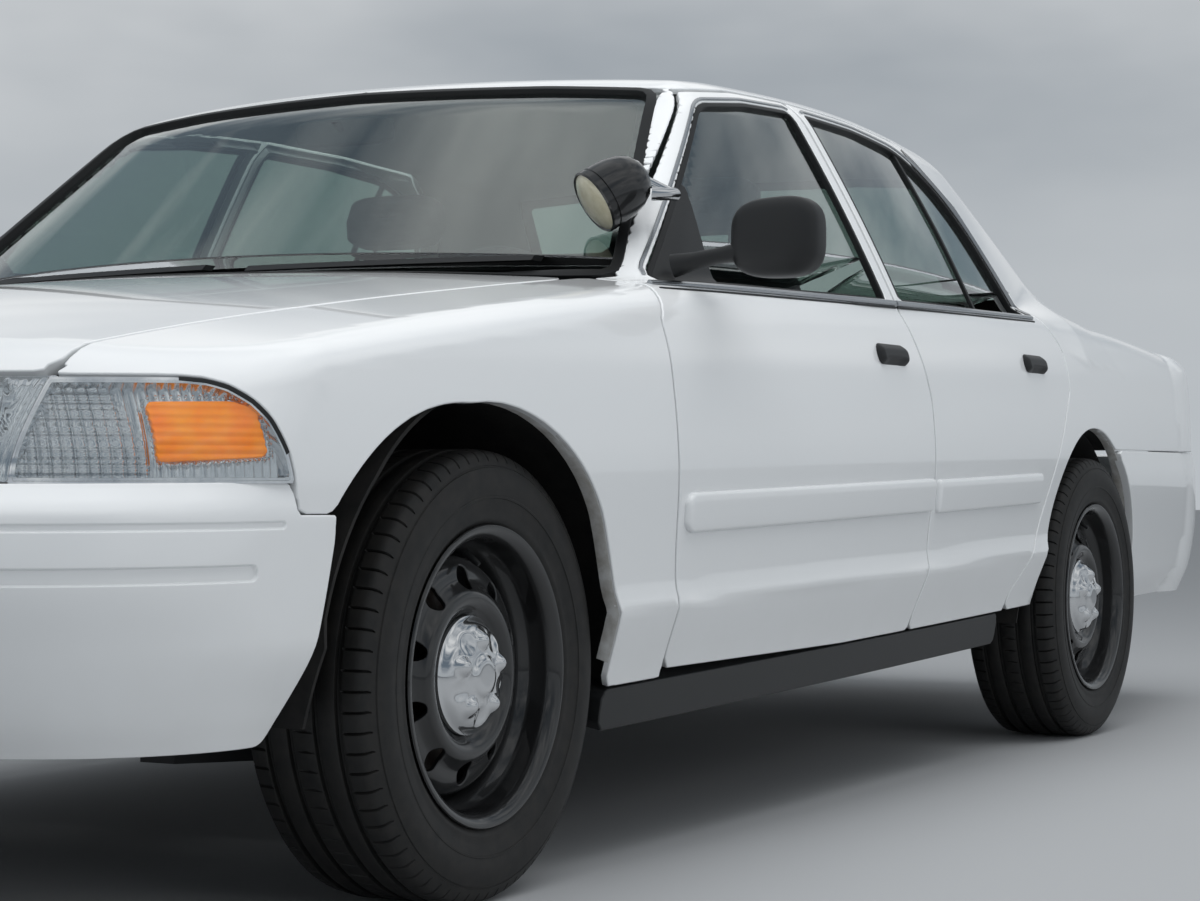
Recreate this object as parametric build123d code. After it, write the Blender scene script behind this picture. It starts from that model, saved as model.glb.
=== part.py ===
from build123d import *
import os
from math import asin, atan2, cos, hypot, pi, radians, sin, tan

os.makedirs("parts", exist_ok=True)

# Police patrol car, a full-size four-door sedan on a separate frame.
# Millimetres. X points forward, Y to the car's left, Z up from the ground.
# The origin is on the ground, midway along the length.

# Overall sizes
LENGTH = 5385.0
WHEELBASE = 2913.0
FRONT_OVERHANG = 1065.0
X_NOSE = LENGTH / 2
X_TAIL = -LENGTH / 2
X_FRONT_AXLE = X_NOSE - FRONT_OVERHANG
X_REAR_AXLE = X_FRONT_AXLE - WHEELBASE

# The side's level lines (sill, crease, belt) climb towards the rear by this slope
RISE = 0.0192

# Wall thicknesses and shut lines
SKIN = 6.0
FENDER_WALL = 22.0
HOOD_WALL = 22.0
DOOR_WALL = 92.0
FRAME_WALL = 40.0
GLASS = 4.0
SHUT = 6.0
REBATE = 20.0
SEAT = 0.3

# Wheels and tyres
TYRE_RADIUS = 345.0
TYRE_WIDTH = 235.0
TREAD_WIDTH = 196.0
RIM_RADIUS = 215.0
RIM_LIP_RADIUS = 229.0
TRACK_FRONT_Y = 805.0
TRACK_REAR_Y = 833.0
HUB_CAP_RADIUS = 90.0
KINGPIN_Y = 735.0

# Side levels of the lower body. Each row is one outline seen from above.
# z0: height at x=0. mid, front, rear: half width at x=0 and where the corners begin.
# nose, nose_side: x of the front face at the centre and at NOSE_Y. tail, tail_side: the same behind
NOSE_Y = 700.0
FRONT_CORNER = 320.0
REAR_CORNER = 330.0
SIDE_LEVELS = [
    # z0, mid, front, rear, nose, nose_side, tail, tail_side
    (250.0, 918.0, 872.0, 842.0, 2585.0, 2455.0, -2590.0, -2500.0),
    (326.0, 932.0, 886.0, 856.0, 2592.0, 2462.0, -2600.0, -2510.0),
    (452.0, 975.0, 924.0, 894.0, 2598.0, 2470.0, -2606.0, -2516.0),
    (492.0, 967.0, 918.0, 890.0, 2600.0, 2472.0, -2608.0, -2518.0),
    (690.0, 981.0, 924.0, 898.0, 2592.0, 2464.0, -2608.0, -2518.0),
    (850.0, 969.0, 914.0, 888.0, 2500.0, 2366.0, -2600.0, -2508.0),
    (935.0, 948.0, 896.0, 866.0, 2430.0, 2290.0, -2590.0, -2494.0),
    (1003.0, 916.0, 868.0, 836.0, 2360.0, 2215.0, -2572.0, -2470.0),
    (1075.0, 872.0, 828.0, 790.0, 2270.0, 2110.0, -2545.0, -2430.0),
]

# Top surface of hood, cowl and deck. Each row is one section across the car.
# x, centre height, height at y=NOSE_Y, height at y=TOP_EDGE_Y
TOP_EDGE_Y = 1150.0
TOP_SECTIONS = [
    (2800.0, 772.0, 725.0, 640.0),
    (2420.0, 850.0, 806.0, 715.0),
    (2069.0, 914.0, 868.0, 790.0),
    (1743.0, 957.0, 915.0, 850.0),
    (1400.0, 995.0, 958.0, 900.0),
    (1100.0, 1024.0, 992.0, 940.0),
    (600.0, 1046.0, 1034.0, 1000.0),
    (-1000.0, 1062.0, 1054.0, 1020.0),
    (-1600.0, 1062.0, 1040.0, 985.0),
    (-2100.0, 1044.0, 1014.0, 950.0),
    (-2800.0, 992.0, 955.0, 885.0),
]

# Greenhouse outlines seen from above: z; front centre x, front corner x and y;
# half width at x=0; rear corner x and y, rear centre x
HOUSE_LEVELS = [
    (950.0, 1193.0, 1019.0, 880.0, 943.0, -1603.0, 800.0, -1768.0),
    (1200.0, 892.0, 736.0, 772.0, 822.0, -1280.0, 716.0, -1431.0),
    (1500.0, 530.0, 398.0, 630.0, 646.0, -893.0, 595.0, -1026.0),
]
# Roof crown sections: x, centre height, height at y=ROOF_EDGE_Y
ROOF_EDGE_Y = 640.0
ROOF_SECTIONS = [
    (1300.0, 1290.0, 1262.0),
    (620.0, 1428.0, 1400.0),
    (250.0, 1470.0, 1441.0),
    (-300.0, 1486.0, 1456.0),
    (-850.0, 1466.0, 1437.0),
    (-1700.0, 1330.0, 1302.0),
]


def bulge_point(start, end, tangent_angle):
    """Middle point of the arc from start to end that leaves start at the given angle."""
    chord_angle = atan2(end[1] - start[1], end[0] - start[0])
    half_chord = hypot(end[0] - start[0], end[1] - start[1]) / 2
    sagitta = half_chord * tan((chord_angle - tangent_angle) / 2)
    mid_x = (start[0] + end[0]) / 2 + sagitta * sin(chord_angle)
    mid_y = (start[1] + end[1]) / 2 - sagitta * cos(chord_angle)
    return (mid_x, mid_y)


def face_angle(centre, side, half_width):
    """Angle at its end of an arc that crosses the car at centre and reaches side at half_width."""
    sagitta = centre - side
    radius = (sagitta ** 2 + half_width ** 2) / (2 * abs(sagitta))
    return asin(half_width / radius)


def plan_outline(row, inset, z_at):
    """Closed outline of the body at one level, seen from above; z_at gives the height at x."""
    z0, mid, front, rear, nose, nose_side, tail, tail_side = row
    mid, front, rear = mid - inset, front - inset, rear - inset
    nose, nose_side = nose - inset, nose_side - inset
    tail, tail_side = tail + inset, tail_side + inset
    corner_y = NOSE_Y - inset * 0.5
    front_start = (nose_side, corner_y)
    front_end = (nose_side - FRONT_CORNER, front)
    rear_start = (tail_side, corner_y)
    rear_end = (tail_side + REAR_CORNER, rear)
    front_mid = bulge_point(front_start, front_end, pi / 2 + face_angle(nose, nose_side, corner_y))
    rear_mid = bulge_point(rear_start, rear_end, pi / 2 - face_angle(tail, tail_side, corner_y))
    arcs = [
        ((nose_side, -corner_y), (nose, 0), front_start),
        (front_start, front_mid, front_end),
        (front_end, (0, mid), rear_end),
        (rear_end, rear_mid, rear_start),
        (rear_start, (tail, 0), (tail_side, -corner_y)),
    ]
    for arc in (arcs[3], arcs[2], arcs[1]):
        arcs.append([(x, -y) for x, y in reversed(arc)])
    edges = [ThreePointArc(*[(x, y, z_at(z0, x)) for x, y in arc]) for arc in arcs]
    return Face(Wire(edges))


def rising(z0, x):
    return z0 - RISE * x


def lower_sides(inset):
    """The body below the belt, ruled from one side level to the next."""
    return loft([plan_outline(row, inset, rising) for row in SIDE_LEVELS], ruled=True)


def top_block(drop):
    """Everything under the hood, cowl and deck surface."""
    sections = []
    floor = 150.0
    for x, centre, at_nose_y, at_edge in TOP_SECTIONS:
        left = (x, NOSE_Y, at_nose_y - drop)
        right = (x, -NOSE_Y, at_nose_y - drop)
        edges = [
            ThreePointArc(right, (x, 0, centre - drop), left),
            Line(left, (x, TOP_EDGE_Y, at_edge - drop)),
            Line((x, TOP_EDGE_Y, at_edge - drop), (x, TOP_EDGE_Y, floor)),
            Line((x, TOP_EDGE_Y, floor), (x, -TOP_EDGE_Y, floor)),
            Line((x, -TOP_EDGE_Y, floor), (x, -TOP_EDGE_Y, at_edge - drop)),
            Line((x, -TOP_EDGE_Y, at_edge - drop), right),
        ]
        sections.append(Face(Wire(edges)))
    return loft(sections)


def lower_body(inset, drop):
    return lower_sides(inset) & top_block(drop)


def house_outline(row, inset):
    z, front, corner_x, corner_y, mid, rear_x, rear_y, rear = row
    front, corner_x = front - inset * 1.3, corner_x - inset * 1.3
    rear, rear_x = rear + inset * 1.3, rear_x + inset * 1.3
    corner_y, mid, rear_y = corner_y - inset, mid - inset, rear_y - inset
    edges = [
        ThreePointArc((corner_x, -corner_y, z), (front, 0, z), (corner_x, corner_y, z)),
        ThreePointArc((corner_x, corner_y, z), (0, mid, z), (rear_x, rear_y, z)),
        ThreePointArc((rear_x, rear_y, z), (rear, 0, z), (rear_x, -rear_y, z)),
        ThreePointArc((rear_x, -rear_y, z), (0, -mid, z), (corner_x, -corner_y, z)),
    ]
    face = Face(Wire(edges))
    return face.fillet_2d(max(46.0 - inset * 0.5, 6.0), face.vertices())


def roof_block(drop):
    sections = []
    floor = 900.0
    wide = 1150.0
    for x, centre, edge in ROOF_SECTIONS:
        slope_end = edge - drop - 90.0
        edges = [
            ThreePointArc((x, -ROOF_EDGE_Y, edge - drop), (x, 0, centre - drop), (x, ROOF_EDGE_Y, edge - drop)),
            Line((x, ROOF_EDGE_Y, edge - drop), (x, wide, slope_end)),
            Line((x, wide, slope_end), (x, wide, floor)),
            Line((x, wide, floor), (x, -wide, floor)),
            Line((x, -wide, floor), (x, -wide, slope_end)),
            Line((x, -wide, slope_end), (x, -ROOF_EDGE_Y, edge - drop)),
        ]
        sections.append(Face(Wire(edges)))
    return loft(sections)


def greenhouse(inset, drop):
    return loft([house_outline(row, inset) for row in HOUSE_LEVELS]) & roof_block(drop)



# Shut lines seen from the side, (x, z), and seen from above, (x, y)
SILL_Z0 = 326.0
BELT_Z0 = 1003.0
FRONT_DOOR_EDGE = [(1073.0, 320.0), (1080.0, 470.0), (1090.0, 700.0), (1088.0, 912.0), (1028.0, 985.0),
                   (478.0, 1398.0)]
CENTRE_EDGE = [(-38.0, 320.0), (-62.0, 470.0), (-82.0, 640.0), (-76.0, 806.0), (-6.0, 1003.0), (-3.0, 1434.0)]
REAR_DOOR_EDGE = [(-648.0, 320.0), (-664.0, 380.0), (-790.0, 500.0), (-905.0, 650.0), (-1060.0, 850.0),
                  (-1068.0, 950.0), (-980.0, 1050.0), (-862.0, 1290.0), (-640.0, 1418.0)]
DOOR_TOP = [(250.0, 1424.0), (-3.0, 1434.0), (-330.0, 1433.0)]

WINDOW_FRONT = [(972.0, 990.0), (466.0, 1374.0), (250.0, 1400.0), (32.0, 1411.0), (34.0, 1003.0)]
WINDOW_REAR = [(-44.0, 1006.0), (-44.0, 1412.0), (-313.0, 1410.0), (-600.0, 1390.0), (-812.0, 1284.0),
               (-934.0, 1024.0)]

HOOD_EDGE_REAR = (1060.0, 745.0)
HOOD_EDGE_FRONT = (2330.0, 698.0)
HOOD_REAR_CENTRE_X = 1235.0
HOOD_LIP_Z = 792.0
LID_EDGE_FRONT = (-1690.0, 700.0)
LID_FRONT_CENTRE_X = -1800.0
LID_EDGE_REAR_Y = 640.0
LID_BOTTOM_Z = 716.0

# Screens, seen from the front and from behind: (half width, z)
WINDSCREEN_HALF = [(797.0, 1000.0), (638.0, 1400.0)]
WINDSCREEN_TOP_Z = 1424.0
REAR_SCREEN_HALF = [(700.0, 1075.0), (575.0, 1385.0)]
REAR_SCREEN_TOP_Z = 1412.0

# Wheel openings, as arcs through (x, z) points
FRONT_ARCH = [((2069.0, 598.0), (1935.0, 708.0), (1716.0, 757.0)), ((1716.0, 757.0), (1500.0, 722.0), (1345.0, 592.0)),
              ((1345.0, 592.0), (1290.0, 460.0), (1272.0, 200.0))]
REAR_ARCH_CENTRE = (-1262.0, 364.0)
REAR_ARCH_RADIUS = 398.0

# Nose: lamps and grille
LAMP_BOTTOM_Z = 638.0 + SEAT
LAMP_TOP_Z = 780.0
LAMP_REAR_EDGE = [(2150.0, 598.0), (2152.0, 641.0), (2190.0, 728.0), (2235.0, 768.0), (2282.0, 782.0)]
GRILLE_HALF = 395.0
CORNER_LAMP_Y = 706.0
TAIL_LAMP_Z = (735.0, 930.0)
TAIL_LAMP_Y = 600.0
REAR_BUMPER_SEAM_Z = 711.0

FRONT_BUMPER_LEVELS = [
    # z, mid, front, rear, nose, nose_side, tail, tail_side
    (285.0, 925.0, 866.0, 850.0, 2600.0, 2440.0, -2400.0, -2300.0),
    (335.0, 942.0, 888.0, 860.0, 2636.0, 2478.0, -2400.0, -2300.0),
    (430.0, 974.0, 918.0, 880.0, 2672.0, 2520.0, -2400.0, -2300.0),
    (520.0, 977.0, 920.0, 885.0, X_NOSE, 2545.0, -2400.0, -2300.0),
    (598.0, 979.0, 921.0, 885.0, 2686.0, 2536.0, -2400.0, -2300.0),
    (638.0, 976.0, 915.0, 880.0, 2652.0, 2498.0, -2400.0, -2300.0),
]
REAR_BUMPER_LEVELS = [
    (318.0, 925.0, 870.0, 838.0, 2400.0, 2300.0, -2610.0, -2490.0),
    (400.0, 965.0, 900.0, 878.0, 2400.0, 2300.0, -2660.0, -2548.0),
    (520.0, 975.0, 900.0, 896.0, 2400.0, 2300.0, X_TAIL, -2582.0),
    (640.0, 981.0, 900.0, 902.0, 2400.0, 2300.0, -2690.0, -2578.0),
    (708.0, 980.0, 900.0, 898.0, 2400.0, 2300.0, -2662.0, -2550.0),
]

BIG = 4000.0
WIDE = 1200.0


def side_prism(points, y_from=0.0, y_to=WIDE):
    """Prism across the car from an outline seen from the side, given as (x, z)."""
    outline = Polyline(*[(x, y_from, z) for x, z in points], close=True)
    return extrude(Face(Wire(outline.edges())), amount=y_to - y_from, dir=(0, 1, 0))


def plan_prism(edges, z_from, z_to):
    """Upright prism from an outline seen from above, drawn at z_from."""
    return extrude(Face(Wire(edges)), amount=z_to - z_from, dir=(0, 0, 1))


def block(x0, x1, y0, y1, z0, z1):
    return Pos((x0 + x1) / 2, (y0 + y1) / 2, (z0 + z1) / 2) * Box(x1 - x0, y1 - y0, z1 - z0)


def rod(start, end, radius):
    """Round bar between two points."""
    axis = Vector(end) - Vector(start)
    plane = Plane(origin=start, z_dir=axis)
    return extrude(plane * Circle(radius), amount=axis.length)


def pair(solid):
    return [solid, mirror(solid, about=Plane.XZ)]


def sector(axis, inner, outer, start, end, place):
    """Flat ring sector about an axis, between two angles in degrees. place puts (u, v) in space."""
    def at(radius, angle):
        return place(axis[0] + radius * cos(radians(angle)), axis[1] + radius * sin(radians(angle)))
    middle = (start + end) / 2
    return Face(Wire([
        ThreePointArc(at(outer, start), at(outer, middle), at(outer, end)),
        Line(at(outer, end), at(inner, end)),
        ThreePointArc(at(inner, end), at(inner, middle), at(inner, start)),
        Line(at(inner, start), at(outer, start)),
    ]))


def door_hinge_bar(axis, inner, outer, start, end, z_from, z_to):
    return extrude(sector(axis, inner, outer, start, end, lambda x, y: (x, y, z_from)), amount=z_to - z_from,
                   dir=(0, 0, 1))


def lid_hinge_bar(axis, inner, outer, start, end, y_from, y_to):
    return extrude(sector(axis, inner, outer, start, end, lambda x, z: (x, y_from, z)), amount=y_to - y_from,
                   dir=(0, 1, 0))


def across_cylinder(axis, radius):
    return Pos(axis[0], 0, axis[1]) * Rot(90, 0, 0) * Cylinder(radius, 2 * WIDE)


def shifted(points, distance):
    """Outline moved outward (or inward, if negative) by a distance, kept closed."""
    wire = Wire(Polyline(*[(x, z) for x, z in points], close=True).edges())
    face = Face(wire)
    moved = offset(face, amount=distance, kind=Kind.INTERSECTION)
    return moved.faces()[0]


def side_prism_shifted(points, distance, y_from=0.0, y_to=WIDE):
    flat = shifted(points, distance)
    upright = Plane(origin=(0, y_from, 0), x_dir=(1, 0, 0), z_dir=(0, -1, 0)) * flat
    return extrude(upright, amount=y_to - y_from, dir=(0, 1, 0))


def above_belt():
    """Everything over the belt line."""
    return side_prism([(-BIG, BELT_Z0 + RISE * BIG), (BIG, BELT_Z0 - RISE * BIG), (BIG, BIG), (-BIG, BIG)],
                      -WIDE, WIDE)


def sill_slab(z_low, z_high):
    return side_prism([(-BIG, z_low + RISE * BIG), (BIG, z_low - RISE * BIG),
                       (BIG, z_high - RISE * BIG), (-BIG, z_high + RISE * BIG)], -WIDE, WIDE)


def arch_prism(arcs, y_from, y_to):
    edges = [ThreePointArc(*[(x, y_from, z) for x, z in arc]) for arc in arcs]
    (x0, z0), (x1, z1) = arcs[0][0], arcs[-1][2]
    edges.append(Line((x1, y_from, z1), (x0, y_from, z1)))
    edges.append(Line((x0, y_from, z1), (x0, y_from, z0)))
    return extrude(Face(Wire(edges)), amount=y_to - y_from, dir=(0, 1, 0))


def hood_prism(gap):
    """Upright prism over the hood's outline, larger by a gap."""
    rear_x, rear_y = HOOD_EDGE_REAR
    front_x, front_y = HOOD_EDGE_FRONT
    rear_x, rear_y, front_y = rear_x - gap, rear_y + gap, front_y + gap
    z = 500.0
    edges = [
        ThreePointArc((rear_x, rear_y, z), (HOOD_REAR_CENTRE_X - gap, 0, z), (rear_x, -rear_y, z)),
        Line((rear_x, -rear_y, z), (front_x, -front_y, z)),
        Line((front_x, -front_y, z), (BIG, -front_y, z)),
        Line((BIG, -front_y, z), (BIG, front_y, z)),
        Line((BIG, front_y, z), (front_x, front_y, z)),
        Line((front_x, front_y, z), (rear_x, rear_y, z)),
    ]
    return plan_prism(edges, z, 1400.0)


def lid_prism(gap):
    front_x, front_y = LID_EDGE_FRONT
    front_x, front_y, rear_y = front_x + gap, front_y + gap, LID_EDGE_REAR_Y + gap
    z = LID_BOTTOM_Z - gap
    edges = [
        ThreePointArc((front_x, -front_y, z), (LID_FRONT_CENTRE_X + gap, 0, z), (front_x, front_y, z)),
        Line((front_x, front_y, z), (-2350.0, front_y, z)),
        Line((-2350.0, front_y, z), (-2470.0, rear_y, z)),
        Line((-2470.0, rear_y, z), (-BIG, rear_y, z)),
        Line((-BIG, rear_y, z), (-BIG, -rear_y, z)),
        Line((-BIG, -rear_y, z), (-2470.0, -rear_y, z)),
        Line((-2470.0, -rear_y, z), (-2350.0, -front_y, z)),
        Line((-2350.0, -front_y, z), (front_x, -front_y, z)),
    ]
    return plan_prism(edges, z, 1500.0)


def front_door_outline():
    return FRONT_DOOR_EDGE + DOOR_TOP[:2] + CENTRE_EDGE[::-1][1:]


def rear_door_outline():
    rear = [(x, z) for x, z in REAR_DOOR_EDGE]
    front = [(x - SHUT, z) for x, z in CENTRE_EDGE]
    return front + DOOR_TOP[2:] + rear[::-1]


def door(outline, window, skin_wall, core_wall):
    """One left door: a thin flange out to the shut line and a core set in from it."""
    flange = skin_wall & side_prism(outline, 300.0)
    core = core_wall & side_prism_shifted(outline, -REBATE, 300.0)
    return (flange + core) - side_prism(window, 300.0)


lower_outer = lower_body(0.0, 0.0)
lower_skin = lower_body(SKIN, SKIN)
lower_wall = lower_body(FENDER_WALL, HOOD_WALL)
lower_cabin = lower_body(DOOR_WALL, 0.0)
house_outer = greenhouse(0.0, 0.0)
house_skin = greenhouse(SKIN, SKIN)
house_inner = greenhouse(FRAME_WALL, FRAME_WALL)

OVER_SILL = side_prism([(-BIG, SILL_Z0 + RISE * BIG), (BIG, SILL_Z0 - RISE * BIG), (BIG, BIG), (-BIG, BIG)],
                       -WIDE, WIDE)
CABIN_ZONE = extrude(
    Plane(origin=(-1150.0, 0, 0), x_dir=(0, 1, 0), z_dir=(1, 0, 0))
    * make_face(Polyline((300, 200), (WIDE, 200), (WIDE, 1600), (513, 1600), (829, BELT_Z0), (300, BELT_Z0),
                         close=True)),
    amount=2280.0)

outer_side = (lower_outer + house_outer) & CABIN_ZONE & OVER_SILL
skin_side = (lower_skin + house_skin) & CABIN_ZONE
cabin_side = (lower_cabin + (house_inner & above_belt())) & CABIN_ZONE
skin_wall = outer_side - skin_side
core_wall = (skin_side & OVER_SILL) - cabin_side
lower_shell = lower_outer - lower_wall
house_shell = house_outer - house_inner


def solids_of(shape):
    if isinstance(shape, (list, tuple)):
        return [s for item in shape for s in solids_of(item)]
    return list(shape.solids())


def export(name, shape):
    solids = solids_of(shape)
    body = solids[0] if len(solids) == 1 else Compound(children=solids)
    export_step(body, f"parts/{name}.step")


def largest(shape):
    return max(shape.solids(), key=lambda s: s.volume)


# Doors: pressed skins on an inner box, with the window frame on top
front_door = largest(door(front_door_outline(), WINDOW_FRONT, skin_wall, core_wall))
rear_door = largest(door(rear_door_outline(), WINDOW_REAR, skin_wall, core_wall))

# Side moulding on each door
MOULDING_DEPTH = 11.0


def side_moulding(z_low, z_high, x_front, x_rear):
    strip = lower_body(-MOULDING_DEPTH, 0.0) - lower_outer
    zone = side_prism([(x_front, z_low + 14), (x_front - 14, z_low), (x_rear, z_low + RISE * (x_front - x_rear)),
                       (x_rear, z_high + RISE * (x_front - x_rear) * 0.9), (x_front - 14, z_high),
                       (x_front, z_high - 14)], 500.0)
    return strip & zone


front_door = front_door + side_moulding(551.0, 620.0, 1066.0, -62.0)
rear_door = rear_door + side_moulding(568.0, 640.0, -96.0, -792.0)

# Hinge bars curve about each door's axis and slide in a slot in its front face
FRONT_DOOR_AXIS = (1062.0, 981.0)
REAR_DOOR_AXIS = (-112.0, 982.0)
DOOR_BAR_WIDTH = 10.0
FRONT_BAR_RADIUS = 75.0
REAR_BAR_RADIUS = 70.0
DOOR_BAR_Z = (680.0, 700.0)
PIN_GAP = 0.5
POST_X = 1104.0
PILLAR_Y = 800.0
front_door = front_door - door_hinge_bar(FRONT_DOOR_AXIS, FRONT_BAR_RADIUS - PIN_GAP,
                                         FRONT_BAR_RADIUS + DOOR_BAR_WIDTH + PIN_GAP, -80.0, -160.0, *DOOR_BAR_Z)
rear_door = rear_door - door_hinge_bar(REAR_DOOR_AXIS, REAR_BAR_RADIUS - PIN_GAP,
                                       REAR_BAR_RADIUS + DOOR_BAR_WIDTH + PIN_GAP, -80.0, -160.0, *DOOR_BAR_Z)
bar_low, bar_high = DOOR_BAR_Z[0] + PIN_GAP, DOOR_BAR_Z[1] - PIN_GAP
front_bar = door_hinge_bar(FRONT_DOOR_AXIS, FRONT_BAR_RADIUS, FRONT_BAR_RADIUS + DOOR_BAR_WIDTH, -40.0, -153.0,
                           bar_low, bar_high)
front_bar = largest(front_bar - block(POST_X - SEAT, 1200.0, 800.0, 990.0, 600.0, 800.0))
rear_bar = door_hinge_bar(REAR_DOOR_AXIS, REAR_BAR_RADIUS, REAR_BAR_RADIUS + DOOR_BAR_WIDTH, -62.0, -153.0,
                          bar_low, bar_high)
rear_bar = rear_bar + block(-90.0, -76.0, PILLAR_Y + SEAT, 918.0, bar_low, bar_high)

for side, solids in (("left", (front_door, rear_door)),
                     ("right", (mirror(front_door, about=Plane.XZ), mirror(rear_door, about=Plane.XZ)))):
    export(f"front_door_{side}", solids[0])
    export(f"rear_door_{side}", solids[1])

# Side glass stands in the window openings, a little in from the frame's face
GLASS_SET = 12.0
glass_shell = greenhouse(GLASS_SET, GLASS_SET) - greenhouse(GLASS_SET + GLASS, GLASS_SET + GLASS)
glass_band = glass_shell & CABIN_ZONE
for name, outline in (("front", WINDOW_FRONT), ("rear", WINDOW_REAR)):
    pane = largest(glass_band & side_prism_shifted(outline, -SEAT, 300.0))
    export(f"{name}_door_glass_left", pane)
    export(f"{name}_door_glass_right", mirror(pane, about=Plane.XZ))


def screen_prism(half, top_z, x_from, x_to, grow):
    """Windscreen or rear window opening, seen along the car."""
    (low_y, low_z), (high_y, high_z) = half
    low_y, high_y, low_z, top = low_y + grow, high_y + grow, low_z - grow, top_z + grow
    high_z = high_z + grow
    edges = [
        Line((x_from, -low_y, low_z), (x_from, low_y, low_z)),
        Line((x_from, low_y, low_z), (x_from, high_y, high_z)),
        ThreePointArc((x_from, high_y, high_z), (x_from, 0, top), (x_from, -high_y, high_z)),
        Line((x_from, -high_y, high_z), (x_from, -low_y, low_z)),
    ]
    return extrude(Face(Wire(edges)), amount=x_to - x_from, dir=(1, 0, 0))


windscreen_hole = screen_prism(WINDSCREEN_HALF, WINDSCREEN_TOP_Z, 200.0, 1500.0, 0.0)
rear_screen_hole = screen_prism(REAR_SCREEN_HALF, REAR_SCREEN_TOP_Z, -2000.0, -700.0, 0.0)
windscreen = largest(glass_shell & screen_prism(WINDSCREEN_HALF, WINDSCREEN_TOP_Z, 200.0, 1500.0, -SEAT)
                     & block(0.0, 1600.0, -WIDE, WIDE, 1008.0, 1500.0))
rear_screen = largest(glass_shell & screen_prism(REAR_SCREEN_HALF, REAR_SCREEN_TOP_Z, -2000.0, -700.0, -SEAT))
export("fixed_glass", [windscreen, rear_screen])

# Roof with front, centre and rear pillars
PILLAR_Z = 330.0
centre_pillar = extrude(
    Plane(origin=(-92.0, 0, 0), x_dir=(0, 1, 0), z_dir=(1, 0, 0))
    * make_face(Polyline((770, PILLAR_Z), (PILLAR_Y, PILLAR_Z), (PILLAR_Y, 1003), (614, 1440), (583, 1430),
                         (768, 990),
                         close=True)),
    amount=92.0)

door_zone = side_prism_shifted(front_door_outline(), SHUT, 300.0)
door_zone = door_zone + side_prism_shifted(rear_door_outline(), SHUT, 300.0)
door_zone = door_zone & extrude(
    Plane(origin=(-1200.0, 0, 0), x_dir=(0, 1, 0), z_dir=(1, 0, 0))
    * make_face(Polyline((300, 200), (WIDE, 200), (WIDE, 1600), (506, 1600), (822, BELT_Z0), (300, BELT_Z0),
                         close=True)),
    amount=2400.0)
roof = house_shell - lower_outer
for zone in pair(door_zone):
    roof = roof - zone
roof = roof - windscreen_hole - rear_screen_hole
roof = largest(roof)
for pillar in pair(centre_pillar):
    roof = roof + pillar
export("roof_and_pillars", roof)

# Front wings, from the bumper to the doors
hood_zone = hood_prism(SHUT / 2)
wing_rear_edge = [(x + SHUT, z) for x, z in FRONT_DOOR_EDGE[:5]]
front_zone = side_prism([(wing_rear_edge[0][0], 100.0)] + wing_rear_edge
                        + [(1000.0, 1100.0), (BIG, 1100.0), (BIG, 100.0)], 300.0)
nose_opening = side_prism(LAMP_REAR_EDGE + [(BIG, 782.0), (BIG, 598.0)], -WIDE, WIDE)
bumper_zone = side_prism([(2062.0, 100.0), (2066.0, 602.0), (BIG, 602.0), (BIG, 100.0)], -WIDE, WIDE)
arch = arch_prism(FRONT_ARCH, 500.0, WIDE)
wing = (lower_shell & front_zone & OVER_SILL) - hood_zone - nose_opening - bumper_zone - arch
wing = largest(wing - greenhouse(-1.0, 0.0))
export("front_wings", pair(wing))

# Hood: outer panel with a rolled front lip
hood = (lower_shell & hood_prism(-SHUT / 2)) - side_prism(
    [(-BIG, HOOD_LIP_Z), (BIG, HOOD_LIP_Z), (BIG, -BIG), (-BIG, -BIG)], -WIDE, WIDE)
hood = largest(hood)
export("hood", hood)

# Hood hinges: a curved tongue under each rear corner, about the hood's axis
HOOD_AXIS = (1066.0, 992.0)
TONGUE_RADII = (60.0, 70.0)
TONGUE_GAP = 0.4
HOOD_TONGUE_Y = (700.0, 712.0)
under_hood = top_block(HOOD_WALL + SEAT)
hood_tongue = lid_hinge_bar(HOOD_AXIS, *TONGUE_RADII, -15.0, -118.0, *HOOD_TONGUE_Y) & under_hood
export("hood_hinges", pair(largest(hood_tongue)))

# Rear quarters, deck surround and tail panel in one pressing
rear_line = [(x - SHUT, z) for x, z in REAR_DOOR_EDGE]
rear_zone = side_prism(rear_line + [(-640.0, 1500.0), (-BIG, 1500.0), (-BIG, 100.0), (-654.0, 100.0)], -WIDE, WIDE)
rear_arch = (Pos(REAR_ARCH_CENTRE[0], 0, REAR_ARCH_CENTRE[1]) * Rot(90, 0, 0)
             * Cylinder(REAR_ARCH_RADIUS, 2 * WIDE))
rear_arch = rear_arch - block(-1800.0, -600.0, -560.0, 560.0, 0.0, 900.0)
rear_bumper_zone = side_prism([(-1450.0, 100.0), (-1450.0, REAR_BUMPER_SEAM_Z), (-BIG, REAR_BUMPER_SEAM_Z),
                               (-BIG, 100.0)], -WIDE, WIDE)


def tail_lamp_zone(gap):
    z_low, z_high = TAIL_LAMP_Z[0] + 2 - gap, TAIL_LAMP_Z[1] - 2 + gap
    return block(-2700.0, -2472.0 + gap, TAIL_LAMP_Y + 2 - gap, WIDE, z_low, z_high)


quarter = (lower_shell & rear_zone & OVER_SILL) - rear_arch - rear_bumper_zone - lid_prism(SHUT / 2)
for zone in pair(tail_lamp_zone(SEAT)):
    quarter = quarter - zone
quarter = quarter - greenhouse(0.0, 0.0)
export("rear_quarters", [s for s in quarter.solids() if s.volume > 1e6])

lid = largest((lower_shell & lid_prism(-SHUT / 2)) - greenhouse(0.0, 0.0))
for zone in pair(tail_lamp_zone(SHUT)):
    lid = lid - zone
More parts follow.
